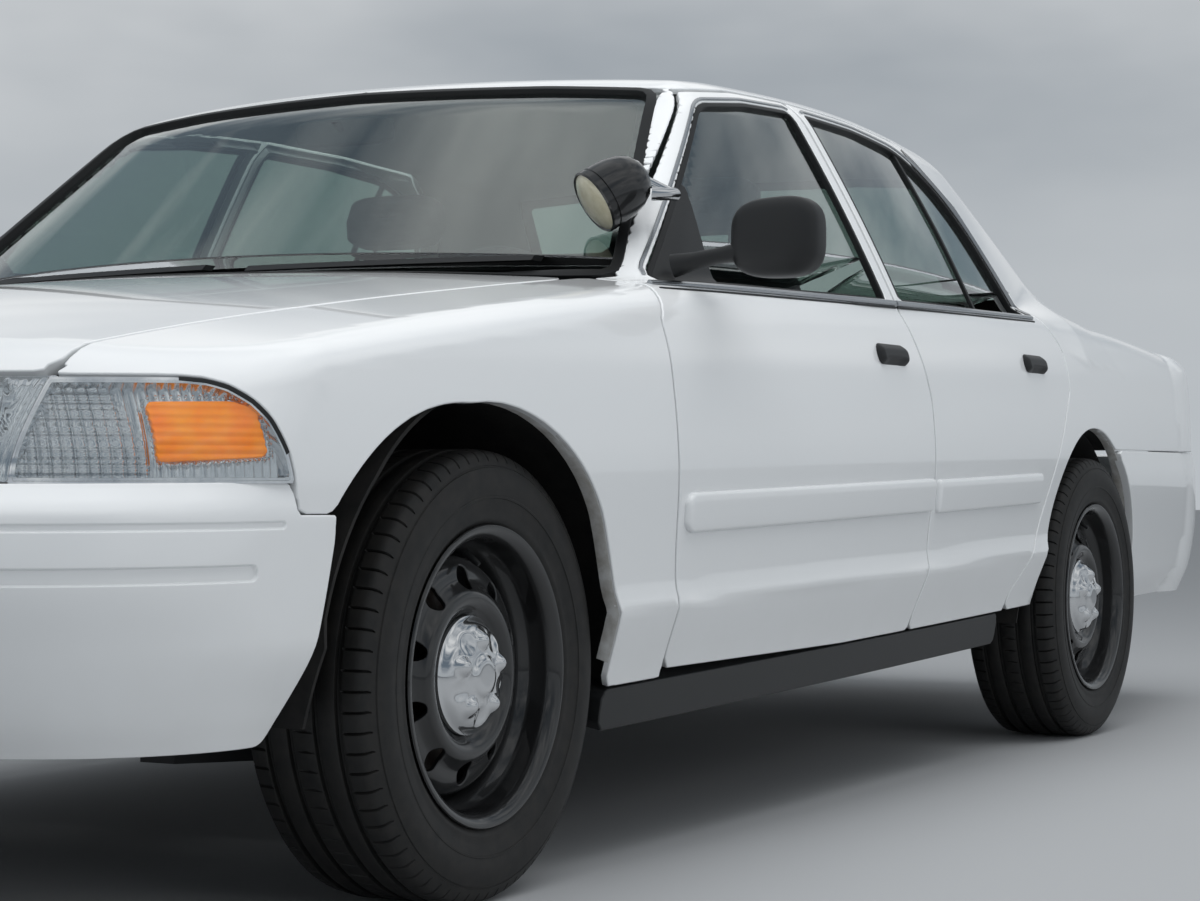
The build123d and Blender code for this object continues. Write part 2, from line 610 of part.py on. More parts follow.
# Four bolt holes for the rear number plate
PLATE_CENTRE_Z = 842.0
PLATE_HOLE_Y = 88.9
PLATE_HOLE_Z = 60.325
PLATE_HOLE_RADIUS = 3.5
for y in (-PLATE_HOLE_Y, PLATE_HOLE_Y):
    for z in (PLATE_CENTRE_Z - PLATE_HOLE_Z, PLATE_CENTRE_Z + PLATE_HOLE_Z):
        lid = lid - rod((-2660.0, y, z), (-2550.0, y, z), PLATE_HOLE_RADIUS)
lid = largest(lid)
export("trunk_lid", lid)

# Trunk lid hinges: curved tongues under the front corners, about the lid's axis
LID_AXIS = (-1696.0, 1035.0)
LID_TONGUE_Y = (680.0, 692.0)
lid_tongue = lid_hinge_bar(LID_AXIS, *TONGUE_RADII, 195.0, 315.0, *LID_TONGUE_Y) & under_hood
export("trunk_lid_hinges", pair(largest(lid_tongue)))

# What the hinges bear on: door bars, and a hollow seat under each tongue
hood_seat = block(1116.0 + SEAT, 1126.0, 692.0, 720.0, 880.0, 965.0)
hood_seat = hood_seat - across_cylinder(HOOD_AXIS, TONGUE_RADII[1] + TONGUE_GAP)
lid_seat = block(-1745.0, -1712.0, 676.0, 720.0, 945.0, 1000.0)
lid_seat = lid_seat - across_cylinder(LID_AXIS, TONGUE_RADII[1] + TONGUE_GAP)
lid_seat = lid_seat + (block(-1745.0, -1712.0, 704.0, 720.0, 945.0, 1030.0) & under_hood)
export("hinge_seats", [solid for part in (front_bar, rear_bar, largest(hood_seat), largest(lid_seat))
                       for solid in pair(part)])


def upright(z0, x):
    return z0


def bumper(levels, cut_top, wall=24.0):
    outer = loft([plan_outline(row, 0.0, upright) for row in levels], ruled=True)
    lowered = [(row[0] - (30.0 if row is levels[0] else 0.0),) + row[1:] for row in levels]
    inner = loft([plan_outline(row, wall, upright) for row in lowered], ruled=True)
    return outer - (inner - block(-BIG, BIG, -WIDE, WIDE, cut_top - wall, 2000.0))


front_bumper = bumper(FRONT_BUMPER_LEVELS, 638.0)
front_keep = side_prism([(2066.0, 596.0), (2069.0, 560.0), (2100.0, 430.0), (2129.0, 347.0), (2166.0, 270.0),
                         (BIG, 270.0), (BIG, 641.0), (2154.0, 641.0), (2150.0, 597.0)], -WIDE, WIDE)
front_bumper = largest(front_bumper & front_keep)
for z, depth, height, x_end in ((584.0, 3.0, 7.0, 2178.0), (522.0, 5.0, 16.0, 2241.0)):
    groove = (loft([plan_outline(row, -1.0, upright) for row in FRONT_BUMPER_LEVELS], ruled=True)
              - loft([plan_outline(row, depth, upright) for row in FRONT_BUMPER_LEVELS], ruled=True))
    front_bumper = front_bumper - (groove & block(x_end, BIG, -WIDE, WIDE, z - height / 2, z + height / 2))
front_bumper = front_bumper - block(2500.0, 2800.0, -430.0, 430.0, 345.0, 405.0)
front_bumper = front_bumper - block(2100.0, 2440.0, -800.0, 800.0, 560.0, 700.0)
# Beam behind the cover, against the ends of the frame
front_bumper = largest(front_bumper + block(2480.0 + SEAT, 2592.0, -480.0, 480.0, 410.0, 460.0))
export("front_bumper", front_bumper)

rear_bumper = bumper(REAR_BUMPER_LEVELS, 708.0)
rear_keep = side_prism([(-1400.0, 708.0), (-BIG, 708.0), (-BIG, 318.0), (-1500.0, 318.0)], -WIDE, WIDE)
rear_bumper = (rear_bumper & rear_keep) - rear_arch - block(-2480.0, -1300.0, -820.0, 820.0, 300.0, 720.0)
rear_bumper = rear_bumper + block(-2610.0, -2520.0 - SEAT, -480.0, 480.0, 400.0, 460.0)
rear_bumper = largest(rear_bumper)
export("rear_bumper", rear_bumper)

# Black sills under the doors
sill = lower_body(4.0, 0.0) & sill_slab(252.0, SILL_Z0 - 4.0)
sill = sill & block(-640.0, 1262.0, 845.0, WIDE, 100.0, 500.0)
export("rocker_sills", pair(largest(sill)))

# Lamps and grille fill the nose opening
lamp_shell = lower_body(2.0, 2.0) - lower_body(60.0, 60.0)
lamp_front = [(BIG, 782.0), (BIG, 598.0)]
lamp_band = lamp_shell & side_prism([(x + SEAT, z) for x, z in LAMP_REAR_EDGE] + lamp_front, 0.0)
lamp_band = lamp_band & block(2100.0, BIG, 0.0, WIDE, LAMP_BOTTOM_Z, LAMP_TOP_Z)
headlamp = largest(lamp_band & block(2150.0, BIG, GRILLE_HALF + SEAT, CORNER_LAMP_Y - SEAT, 600.0, LAMP_TOP_Z))
corner_lamp = largest(lamp_band & block(2100.0, BIG, CORNER_LAMP_Y, WIDE, 600.0, LAMP_TOP_Z))
export("headlamps", pair(headlamp))
export("corner_lamps", pair(corner_lamp))

grille_band = lamp_shell & block(2100.0, BIG, -GRILLE_HALF, GRILLE_HALF, LAMP_BOTTOM_Z, LAMP_TOP_Z)
grille = grille_band - block(2100.0, BIG, -GRILLE_HALF + 14, GRILLE_HALF - 14, 655.0, 766.0)
bars = grille_band - lower_body(30.0, 30.0)
for index in range(3):
    z = 655.0 + 111.0 * (index + 1) / 4
    grille = grille + (bars & block(2100.0, BIG, -GRILLE_HALF + 7, GRILLE_HALF - 7, z - 4.0, z + 4.0))
for index in range(9):
    y = -GRILLE_HALF + 2 * GRILLE_HALF * (index + 1) / 10
    grille = grille + (bars & block(2100.0, BIG, y - 3.0, y + 3.0, 648.0, 773.0))
export("grille", largest(grille))

tail_lamp = (lower_body(1.0, 1.0) - lower_body(55.0, 55.0)) & tail_lamp_zone(0.0)
export("tail_lamps", pair(largest(tail_lamp)))

# Cowl between the hood and the windscreen
cowl = (lower_body(60.0, 34.0) - lower_body(60.0, 60.0)) & block(940.0, 1260.0, -806.0, 806.0, 800.0, 1100.0)
cowl = cowl - greenhouse(-2.0, 0.0)
for notch in pair(block(1010.0, 1140.0, 686.0, 726.0, 800.0, 1100.0)):
    cowl = cowl - notch
export("cowl", largest(cowl))


def revolved(points, y_centre, x_centre, z_centre):
    """Turned piece about an axis across the car, from (radius, y) points."""
    profile = Polyline(*[(x_centre, y_centre + y, z_centre + r) for r, y in points], close=True)
    axis = Axis((x_centre, 0, z_centre), (0, 1, 0))
    return revolve(Face(Wire(profile.edges())), axis=axis)


TYRE_PROFILE = [(RIM_RADIUS + SEAT, 98.0), (RIM_LIP_RADIUS + 8.0, 106.0), (268.0, 115.0), (290.0, TYRE_WIDTH / 2),
                (312.0, 114.0), (332.0, 105.0), (341.0, TREAD_WIDTH / 2), (TYRE_RADIUS, 72.0)]
HOLE_COUNT = 10
HOLE_CIRCLE = 151.0
LUG_CIRCLE = 57.0
SPINDLE_RADIUS = 31.0


def tyre(x, y):
    half = TYRE_PROFILE
    other = [(r, -w) for r, w in reversed(half)]
    return revolved(half + other, y, x, TYRE_RADIUS)


def wheel(x, y):
    """Left steel wheel: rolled rim, pressed disc with oval holes, domed hub cap, brake rotor."""
    barrel = [(RIM_LIP_RADIUS, -110.0), (RIM_LIP_RADIUS, -105.0), (RIM_RADIUS, -100.0), (214.0, -70.0),
              (194.0, -40.0), (194.0, 20.0), (214.0, 60.0), (RIM_RADIUS, 100.0), (RIM_LIP_RADIUS, 105.0),
              (RIM_LIP_RADIUS, 110.0), (222.0, 110.0), (208.0, 97.0), (207.0, 62.0), (187.0, 24.0),
              (187.0, -42.0), (207.0, -72.0), (208.0, -97.0), (222.0, -110.0)]
    disc = [(20.0, 70.0), (96.0, 70.0), (112.0, 84.0), (122.0, 84.0), (136.0, 66.0), (166.0, 60.0), (190.0, 28.0),
            (190.0, 22.0), (164.0, 50.0), (134.0, 56.0), (118.0, 74.0), (114.0, 74.0), (98.0, 60.0), (20.0, 60.0)]
    cap = [(0.0, 70.0), (HUB_CAP_RADIUS, 70.0), (HUB_CAP_RADIUS, 86.0), (82.0, 93.0), (60.0, 98.0), (36.0, 100.0),
           (32.0, 107.0), (0.0, 108.0)]
    rotor = [(SPINDLE_RADIUS + 0.5, 60.0), (92.0, 60.0), (92.0, 12.0), (150.0, 12.0), (150.0, -10.0),
             (84.0, -10.0), (84.0, 40.0), (SPINDLE_RADIUS + 0.5, 40.0)]
    body = revolved(barrel, y, x, TYRE_RADIUS) + revolved(disc, y, x, TYRE_RADIUS)
    for index in range(HOLE_COUNT):
        turn = 360.0 * index / HOLE_COUNT
        hole = (Pos(x, y + 58.0, TYRE_RADIUS) * Rot(0, turn, 0) * Pos(0, 0, HOLE_CIRCLE) * Rot(90, 0, 0)
                * extrude(Ellipse(17.0, 12.5), amount=40.0, both=True))
        body = body - hole
    body = body + revolved(cap, y, x, TYRE_RADIUS) + revolved(rotor, y, x, TYRE_RADIUS)
    for index in range(5):
        turn = 360.0 * index / 5
        bump = (Pos(x, y + 94.0, TYRE_RADIUS) * Rot(0, turn, 0) * Pos(0, 0, LUG_CIRCLE) * Sphere(14.0))
        body = body + bump
    return body


AXLES = (("front", X_FRONT_AXLE, TRACK_FRONT_Y), ("rear", X_REAR_AXLE, TRACK_REAR_Y))
for end, x, y in AXLES:
    left_wheel, left_tyre = wheel(x, y), tyre(x, y)
    export(f"{end}_wheel_left", left_wheel)
    export(f"{end}_wheel_right", mirror(left_wheel, about=Plane.XZ))
    export(f"{end}_tyre_left", left_tyre)
    export(f"{end}_tyre_right", mirror(left_tyre, about=Plane.XZ))

# Steering knuckles: upright on the kingpin line, stub axle into the hub
HUB_GAP = 0.5
knuckle = rod((X_FRONT_AXLE, KINGPIN_Y, 232.0), (X_FRONT_AXLE, KINGPIN_Y, 470.0), 24.0)
knuckle = knuckle + rod((X_FRONT_AXLE, KINGPIN_Y - 10.0, TYRE_RADIUS), (X_FRONT_AXLE, TRACK_FRONT_Y + 50.0 - HUB_GAP,
                                                                  TYRE_RADIUS), SPINDLE_RADIUS)
knuckle = knuckle + block(X_FRONT_AXLE - 150.0, X_FRONT_AXLE, KINGPIN_Y - 18.0, KINGPIN_Y + 6.0, 300.0, 330.0)
for name, solid in zip(("left", "right"), pair(knuckle)):
    export(f"steering_knuckle_{name}", solid)

# Control arms on the frame, lower and upper, each a flat wishbone
RAIL_Y = 420.0
RAIL_WIDTH = 90.0
RAIL_Z = (245.0, 365.0)


def wishbone(z, thickness, inner_y, reach):
    neck_y = KINGPIN_Y - 145.0
    points = [(X_FRONT_AXLE + reach, inner_y), (X_FRONT_AXLE + reach - 50.0, inner_y),
              (X_FRONT_AXLE, neck_y - 30.0), (X_FRONT_AXLE - reach + 50.0, inner_y),
              (X_FRONT_AXLE - reach, inner_y), (X_FRONT_AXLE - 38.0, neck_y), (X_FRONT_AXLE - 34.0, KINGPIN_Y + 20.0),
              (X_FRONT_AXLE + 34.0, KINGPIN_Y + 20.0), (X_FRONT_AXLE + 38.0, neck_y)]
    outline = Polyline(*[(x, y, z) for x, y in points], close=True)
    return extrude(Face(Wire(outline.edges())), amount=thickness, dir=(0, 0, 1))


arms = []
for side in pair(wishbone(207.0, 24.5, RAIL_Y + RAIL_WIDTH / 2, 190.0)):
    arms.append(side)
for side in pair(wishbone(470.5, 20.0, RAIL_Y + RAIL_WIDTH / 2, 130.0)):
    arms.append(side)
tower = block(X_FRONT_AXLE - 130.0, X_FRONT_AXLE + 130.0, RAIL_Y - 20.0, RAIL_Y + RAIL_WIDTH / 2, RAIL_Z[1], 500.0)
rail_rear = [(-1030.0, 245.0), (-1170.0, 430.0), (-1600.0, 430.0), (-1750.0, 380.0), (-2520.0, 380.0)]


def rail():
    low, high = RAIL_Z
    height = high - low
    outline = ([(2480.0, low + 120), (2480.0, high + 120), (2150.0, high + 120), (1950.0, high)]
               + [(x, z + height) for x, z in rail_rear] + [(x, z) for x, z in reversed(rail_rear)]
               + [(1950.0, low), (2150.0, low + 120)])
    return side_prism(outline, RAIL_Y - RAIL_WIDTH / 2, RAIL_Y + RAIL_WIDTH / 2)


left_rail = rail() + tower + block(X_FRONT_AXLE - 190.0, X_FRONT_AXLE + 190.0, RAIL_Y - 20.0,
                                   RAIL_Y + RAIL_WIDTH / 2, 207.0, RAIL_Z[0])
chassis = left_rail + mirror(left_rail, about=Plane.XZ)
for x, width, z0, z1 in ((X_FRONT_AXLE, 220.0, 215.0, 285.0), (2440.0, 70.0, 380.0, 470.0), (700.0, 120.0, 250.0, 289.7),
                         (-700.0, 90.0, 245.0, 305.0), (-1820.0, 80.0, 400.0, 460.0), (-2480.0, 70.0, 400.0, 480.0)):
    chassis = chassis + block(x - width / 2, x + width / 2, -RAIL_Y, RAIL_Y, z0, z1)
for x in (1150.0, -560.0):
    chassis = chassis + block(x - 45.0, x + 45.0, -844.7, 844.7, 250.0, 262.0)
export("chassis_frame", chassis)
export("control_arms", arms)

# Engine and gearbox as one mass, propeller shaft
engine = block(1330.0, 1960.0, -290.0, 290.0, 330.0, 800.0)
gearbox = Pos(1030.0, 0, 400.0) * Rot(0, 90, 0) * Cylinder(110.0, 600.0)
export("engine", engine + gearbox)

# Rear axle with differential, brake discs carried by the wheels
axle_tube = rod((X_REAR_AXLE, -(TRACK_REAR_Y + 50.0 - HUB_GAP), TYRE_RADIUS),
                (X_REAR_AXLE, TRACK_REAR_Y + 50.0 - HUB_GAP, TYRE_RADIUS), SPINDLE_RADIUS)
axle_tube = axle_tube + rod((X_REAR_AXLE, -700.0, TYRE_RADIUS), (X_REAR_AXLE, 700.0, TYRE_RADIUS), 42.0)
axle_tube = axle_tube + Pos(X_REAR_AXLE, 0, TYRE_RADIUS) * Sphere(128.0)
shaft = rod((X_REAR_AXLE, 0, TYRE_RADIUS), (727.0, 0, 400.0), 38.0)
spring_seats = block(X_REAR_AXLE - 60.0, X_REAR_AXLE + 60.0, -465.0, -375.0, TYRE_RADIUS, 429.7)
export("rear_axle", axle_tube + shaft + spring_seats + mirror(spring_seats, about=Plane.XZ))

# Floor with its tunnel
FLOOR_Z = RAIL_Z[1] + SEAT
FLOOR_T = 6.0
FLOOR_HALF = 822.0
FLOOR_REAR_X = -1000.0
TUNNEL_Y = 130.0
TUNNEL_TOP_Z = 540.0
floor = block(FLOOR_REAR_X, POST_X, -FLOOR_HALF, FLOOR_HALF, FLOOR_Z, FLOOR_Z + FLOOR_T)
tunnel_outer = block(FLOOR_REAR_X, POST_X, -TUNNEL_Y, TUNNEL_Y, FLOOR_Z, TUNNEL_TOP_Z)
tunnel_space = block(-1100.0, 1200.0, -TUNNEL_Y + FLOOR_T, TUNNEL_Y - FLOOR_T, FLOOR_Z - 1.0,
                     TUNNEL_TOP_Z - FLOOR_T)
floor = (floor + tunnel_outer) - tunnel_space
for pillar_hole in pair(block(-94.0, 2.0, 767.0, 900.0, 300.0, 400.0)):
    floor = floor - pillar_hole

# Firewall with the front door posts behind the wings
firewall = block(POST_X, 1116.0, -870.0, 870.0, FLOOR_Z, 1000.0) & top_block(60.0 + SEAT)
firewall = firewall - tunnel_space
for post in pair(block(POST_X, 1140.0, 800.0, 990.0, FLOOR_Z, 905.0) & lower_wall):
    firewall = firewall + post
export("firewall", largest(firewall))

# Bulkhead and parcel shelf behind the rear seat, and the trunk floor
bulkhead = block(-1010.0, FLOOR_REAR_X, -566.0, 566.0, FLOOR_Z, 1010.0)
bulkhead = bulkhead + block(-1010.0, FLOOR_REAR_X, -780.0, 780.0, 790.0, 1010.0)
bulkhead = bulkhead - tunnel_space + block(-1540.0, FLOOR_REAR_X, -690.0, 690.0, 1000.0, 1010.0)
export("trunk_floor", block(-2490.0, -1010.0, -560.0, 560.0, 556.0, 562.0))

# Wheelhouses: half drums closed on the inboard side
wheelhouses = []
HOUSE_INNER_Y = 560.0
HOUSE_OUTER_Y = 990.0
HOUSE_LOW_Z = 300.0
for x, z, radius in ((X_FRONT_AXLE, TYRE_RADIUS, 432.0), (REAR_ARCH_CENTRE[0], REAR_ARCH_CENTRE[1], 412.0)):
    width = HOUSE_OUTER_Y - HOUSE_INNER_Y
    drum = Pos(x, HOUSE_INNER_Y + width / 2, z) * Rot(90, 0, 0) * Cylinder(radius + FLOOR_T, width)
    inner = Pos(x, HOUSE_INNER_Y + width / 2 + FLOOR_T, z) * Rot(90, 0, 0) * Cylinder(radius, width)
    house = ((drum - inner) & lower_wall) - block(x - 600.0, x + 600.0, 0.0, WIDE, -BIG, HOUSE_LOW_Z)
    house = house - block(x - 330.0, x + 330.0, 500.0, 580.0, 0.0, 600.0)
    house = house - block(-BIG, -1440.0, 819.7, WIDE, 0.0, REAR_BUMPER_SEAM_Z + SEAT)
    wheelhouses += pair(largest(house))
    for side in pair(drum - block(x - 600.0, x + 600.0, 0.0, WIDE, 700.0, BIG)):
        floor = floor - side
        bulkhead = bulkhead - side
export("floor_pan", largest(floor))
export("rear_bulkhead", largest(bulkhead))
export("wheelhouses", wheelhouses)

# Fuel tank ahead of the trunk, silencers and tailpipes
export("fuel_tank", block(-1700.0, -1020.0, -366.0, 366.0, 562.3, 760.0))

EXHAUST_Y = 300.0
PIPE_RADIUS = 27.0
PIPE_Z = 305.0 + SEAT + PIPE_RADIUS
exhaust_pipe = rod((1290.0, EXHAUST_Y, PIPE_Z), (-1010.0, EXHAUST_Y, PIPE_Z), PIPE_RADIUS)
exhaust = exhaust_pipe + Pos(-100.0, EXHAUST_Y, 305.0) * Box(520.0, 110.0, 100.0)
exhausts = pair(exhaust)
export("exhaust", exhausts)

# Dashboard, steering wheel and seats
DASH_X = POST_X - SEAT
dash_outline = [(DASH_X, 660.0), (DASH_X, 890.0), (1030.0, 900.0), (930.0, 930.0), (860.0, 962.0), (770.0, 945.0),
                (715.0, 890.0), (735.0, 780.0), (830.0, 640.0)]
export("dashboard", side_prism(dash_outline, -770.0, 770.0))

DRIVER_Y = 390.0
WHEEL_TILT = 25.0
column_plane = Plane(origin=(640.0, DRIVER_Y, 905.0), x_dir=(0, 1, 0),
                     z_dir=(-cos(radians(WHEEL_TILT)), 0, sin(radians(WHEEL_TILT))))
steering = column_plane * Torus(186.0, 14.0)
steering = steering + column_plane * Pos(0, 0, -12.0) * Cylinder(58.0, 44.0)
for turn in (0.0, 180.0, 270.0):
    steering = steering + column_plane * Rot(0, 0, turn) * Pos(110.0, 0, -6.0) * Box(150.0, 36.0, 14.0)
steering = steering + column_plane * Pos(0, 0, -70.0) * Cylinder(34.0, 90.0)
steering = steering - side_prism_shifted(dash_outline, SEAT, -780.0, 780.0)
export("steering_wheel", largest(steering))

SEAT_Y = 405.0
SEAT_WIDTH = 510.0
seat_outline = [(470.0, 470.0), (482.0, 600.0), (440.0, 640.0), (60.0, 612.0), (-20.0, 650.0), (-140.0, 1130.0),
                (-200.0, 1145.0), (-232.0, 1110.0), (-112.0, 560.0), (-95.0, FLOOR_Z + FLOOR_T + SEAT),
                (400.0, FLOOR_Z + FLOOR_T + SEAT)]
seat = side_prism(seat_outline, SEAT_Y - SEAT_WIDTH / 2, SEAT_Y + SEAT_WIDTH / 2)
for y in (SEAT_Y - 60.0, SEAT_Y + 60.0):
    seat = seat + rod((-170.0, y, 1120.0), (-182.0, y, 1200.0), 7.0)
seat = seat + side_prism([(-135.0, 1180.0), (-128.0, 1240.0), (-160.0, 1300.0), (-205.0, 1296.0), (-215.0, 1185.0)],
                         SEAT_Y - 135.0, SEAT_Y + 135.0)
export("front_seats", pair(seat))

bench = side_prism([(-380.0, FLOOR_Z + FLOOR_T + SEAT), (-360.0, 600.0), (-420.0, 655.0), (-800.0, 615.0),
                    (-915.0, 1060.0),
                    (-970.0, 1085.0), (-999.7, 1060.0), (-999.7, FLOOR_Z + FLOOR_T + SEAT)],
                   -690.0, 690.0)
bench = bench - block(-1000.0, -300.0, -TUNNEL_Y - SEAT, TUNNEL_Y + SEAT, 300.0, TUNNEL_TOP_Z + SEAT)
for corner in pair(block(-1000.0, -830.0, 552.0, 800.0, 300.0, 790.0)):
    bench = bench - corner
export("rear_seat", bench)

# Mirrors, handles and the pillar spotlight
mirror_head = Pos(652.0, 0, 1335.0) * Box(26.0, 236.0, 58.0)
mirror_head = fillet(mirror_head.edges(), 10.0)
inner_mirror = mirror_head + (rod((660.0, 0, 1340.0), (760.0, 0, 1352.0), 8.0) & greenhouse(GLASS_SET + GLASS + SEAT,
                                                                              GLASS_SET + GLASS + SEAT))
export("interior_mirror", largest(inner_mirror))

door_mirror = Pos(878.0, 1056.0, 1062.0) * Box(94.0, 168.0, 150.0)
door_mirror = fillet(door_mirror.edges(), 40.0)
door_mirror = door_mirror + rod((930.0, 846.0, 1014.0), (886.0, 1000.0, 1046.0), 18.0)
sail = ((greenhouse(-4.0, 0.0) - greenhouse(GLASS_SET - SEAT, 0.0))
        & side_prism([(966.0, 992.0), (880.0, 1050.0), (880.0, 992.0)], 700.0))
door_mirror = (door_mirror - greenhouse(-4.0, 0.0)) + largest(sail)
HANDLES = {"front": (117.0, 891.0), "rear": (-799.0, 905.0)}
HANDLE_LENGTH = 152.0
HANDLE_HEIGHT = 42.0
handle_shell = lower_body(-26.0, 0.0) - lower_body(-SEAT, 0.0)
for end, (x, z) in HANDLES.items():
    plate = Plane(origin=(x, 800.0, z), x_dir=(1, 0, 0), z_dir=(0, 1, 0)) * SlotOverall(HANDLE_LENGTH, HANDLE_HEIGHT)
    handle = largest(handle_shell & extrude(plate, amount=400.0))
    fittings = [handle, largest(door_mirror)] if end == "front" else [handle]
    export(f"{end}_door_fittings_left", fittings)
    export(f"{end}_door_fittings_right", [mirror(item, about=Plane.XZ) for item in fittings])

SPOT_AT = (915.0, 745.0, 1155.0)
SPOT_AIM = (0.65, -0.55, -0.52)
STEM_END = (858.0, 846.0, 1150.0)
STEM_RADIUS = 10.0
lamp_head = Plane(origin=SPOT_AT, z_dir=SPOT_AIM) * scale(Sphere(60.0), by=(1.0, 1.0, 1.3))
stem = rod((740.0, 680.0, 1215.0), STEM_END, STEM_RADIUS) - greenhouse(-SEAT, 0.0)
neck = rod(STEM_END, (890.0, 785.0, 1152.0), STEM_RADIUS)
export("spotlight", largest(lamp_head + neck + largest(stem)))

# Wipers rest at the foot of the windscreen
blade_band = greenhouse(-12.0, 0.0) - greenhouse(GLASS_SET - SEAT, 0.0)
wipers = []
for y0, y1 in ((90.0, 640.0), (-560.0, -10.0)):
    outline = Polyline((1400.0, y0, 1024.0), (1400.0, y1, 1030.0), (1400.0, y1, 1040.0), (1400.0, y0, 1034.0), close=True)
    strip = extrude(Face(Wire(outline.edges())), amount=-600.0, dir=(1, 0, 0))
    wipers.append(largest(blade_band & strip))
export("wipers", wipers)
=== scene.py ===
import functools
import math

import bpy
import numpy as np
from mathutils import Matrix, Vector


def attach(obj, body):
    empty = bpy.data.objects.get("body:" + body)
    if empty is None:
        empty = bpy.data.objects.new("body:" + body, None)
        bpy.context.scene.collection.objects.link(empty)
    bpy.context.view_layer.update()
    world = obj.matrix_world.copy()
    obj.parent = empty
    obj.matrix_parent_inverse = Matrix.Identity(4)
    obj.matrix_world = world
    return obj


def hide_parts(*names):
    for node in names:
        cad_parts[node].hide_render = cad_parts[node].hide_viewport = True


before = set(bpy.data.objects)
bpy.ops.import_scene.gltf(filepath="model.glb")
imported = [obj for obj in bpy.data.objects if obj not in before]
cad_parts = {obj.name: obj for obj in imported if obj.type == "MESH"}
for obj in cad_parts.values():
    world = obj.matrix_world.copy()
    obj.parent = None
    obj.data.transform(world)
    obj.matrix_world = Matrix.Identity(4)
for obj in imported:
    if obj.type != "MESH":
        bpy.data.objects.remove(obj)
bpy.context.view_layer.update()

# Camera. A long lens at headlamp height stands off the front left corner,
# turned across the car so that the nose leaves the frame on the left.
CAMERA_AT = (5.0742, 2.9458, 0.6544)
CAMERA_YAW = 208.13
CAMERA_PITCH = 0.47
LENS = 79.08

camera_data = bpy.data.cameras.new("camera")
camera_data.lens = LENS
camera_data.sensor_width = 36.0
camera = bpy.data.objects.new("camera", camera_data)
camera.location = CAMERA_AT
camera.rotation_euler = (math.radians(90 + CAMERA_PITCH), 0.0, math.radians(CAMERA_YAW - 90))
bpy.context.scene.collection.objects.link(camera)
bpy.context.scene.camera = camera

# Body shell. The pressed steel skin of the car, drawn as one smooth form in millimetres:
# sides that follow level lines, a crowned hood and deck, and a greenhouse set on top.
# Every painted panel below is lifted off this form, so that neighbours line up across their gaps.
RISE = 0.0192
NOSE_Y, FRONT_CORNER, REAR_CORNER = 700.0, 320.0, 330.0
SIDE_LEVELS = np.array([
    # z0, mid, front, rear, nose, nose_side, tail, tail_side
    (250, 918, 872, 842, 2585, 2455, -2590, -2500),
    (326, 932, 886, 856, 2592, 2462, -2600, -2510),
    (452, 975, 924, 894, 2598, 2470, -2606, -2516),
    (492, 967, 918, 890, 2600, 2472, -2608, -2518),
    (690, 981, 924, 898, 2592, 2464, -2608, -2518),
    (850, 969, 914, 888, 2500, 2366, -2600, -2508),
    (935, 948, 896, 866, 2430, 2290, -2590, -2494),
    (1003, 916, 868, 836, 2360, 2215, -2572, -2470),
    (1075, 872, 828, 790, 2270, 2110, -2545, -2430)], float)
CREASE_ROW = 2
TOP_SECTIONS = np.array([
    # x, centre height, height at NOSE_Y, height at TOP_EDGE_Y
    (-2800, 992, 955, 885), (-2100, 1044, 1014, 950), (-1600, 1062, 1040, 985), (-1000, 1062, 1054, 1020),
    (600, 1046, 1034, 1000), (1100, 1024, 992, 940), (1400, 995, 958, 900), (1743, 957, 915, 850),
    (2069, 914, 868, 790), (2420, 850, 806, 715), (2800, 772, 725, 640)], float)
TOP_EDGE_Y = 1150.0
HOUSE_LEVELS = np.array([
    # z, front centre x, front corner x and y, half width at x=0, rear corner x and y, rear centre x
    (950, 1193, 1019, 880, 943, -1603, 800, -1768),
    (1200, 892, 736, 772, 822, -1280, 716, -1431),
    (1500, 530, 398, 630, 646, -893, 595, -1026)], float)
ROOF_EDGE_Y = 640.0
ROOF_SECTIONS = np.array([
    # x, centre height, height at ROOF_EDGE_Y
    (-1700, 1330, 1302), (-850, 1466, 1437), (-300, 1486, 1456), (250, 1470, 1441), (620, 1428, 1400),
    (1300, 1290, 1262)], float)
SHOULDER = 42.0
ROOF_ROLL = 55.0
PILLAR_ROLL = 50.0


def smooth(knots, values, at):
    """Value on a curve through the knots that never swings past them."""
    step = np.diff(knots)
    slope = np.diff(values) / step
    tangent = np.concatenate([slope[:1], np.zeros(len(slope) - 1), slope[-1:]])
    rising = slope[:-1] * slope[1:] > 0
    pair = slope[:-1][rising], slope[1:][rising]
    tangent[1:-1][rising] = 2 * pair[0] * pair[1] / (pair[0] + pair[1])
    i = np.clip(np.searchsorted(knots, at) - 1, 0, len(step) - 1)
    inside = np.clip(at, knots[0], knots[-1])
    t = (inside - knots[i]) / step[i]
    value = (values[i] * (1 + 2 * t) * (1 - t) ** 2 + values[i + 1] * t * t * (3 - 2 * t)
             + step[i] * (tangent[i] * t * (1 - t) ** 2 - tangent[i + 1] * t * t * (1 - t)))
    return value + (at - inside) * tangent[np.where(at < knots[0], 0, len(knots) - 1)]


def side_row(z0):
    """The side's plan sizes at a level, with a soft crease along the lower doors."""
    rows = []
    for column in SIDE_LEVELS.T[1:]:
        low = smooth(SIDE_LEVELS[:CREASE_ROW + 1, 0], column[:CREASE_ROW + 1], z0)
        high = smooth(SIDE_LEVELS[CREASE_ROW:, 0], column[CREASE_ROW:], z0)
        weight = np.clip((z0 - SIDE_LEVELS[CREASE_ROW, 0]) / 16 + 0.5, 0, 1)
        weight = weight * weight * (3 - 2 * weight)
        rows.append(low * (1 - weight) + high * weight)
    return rows


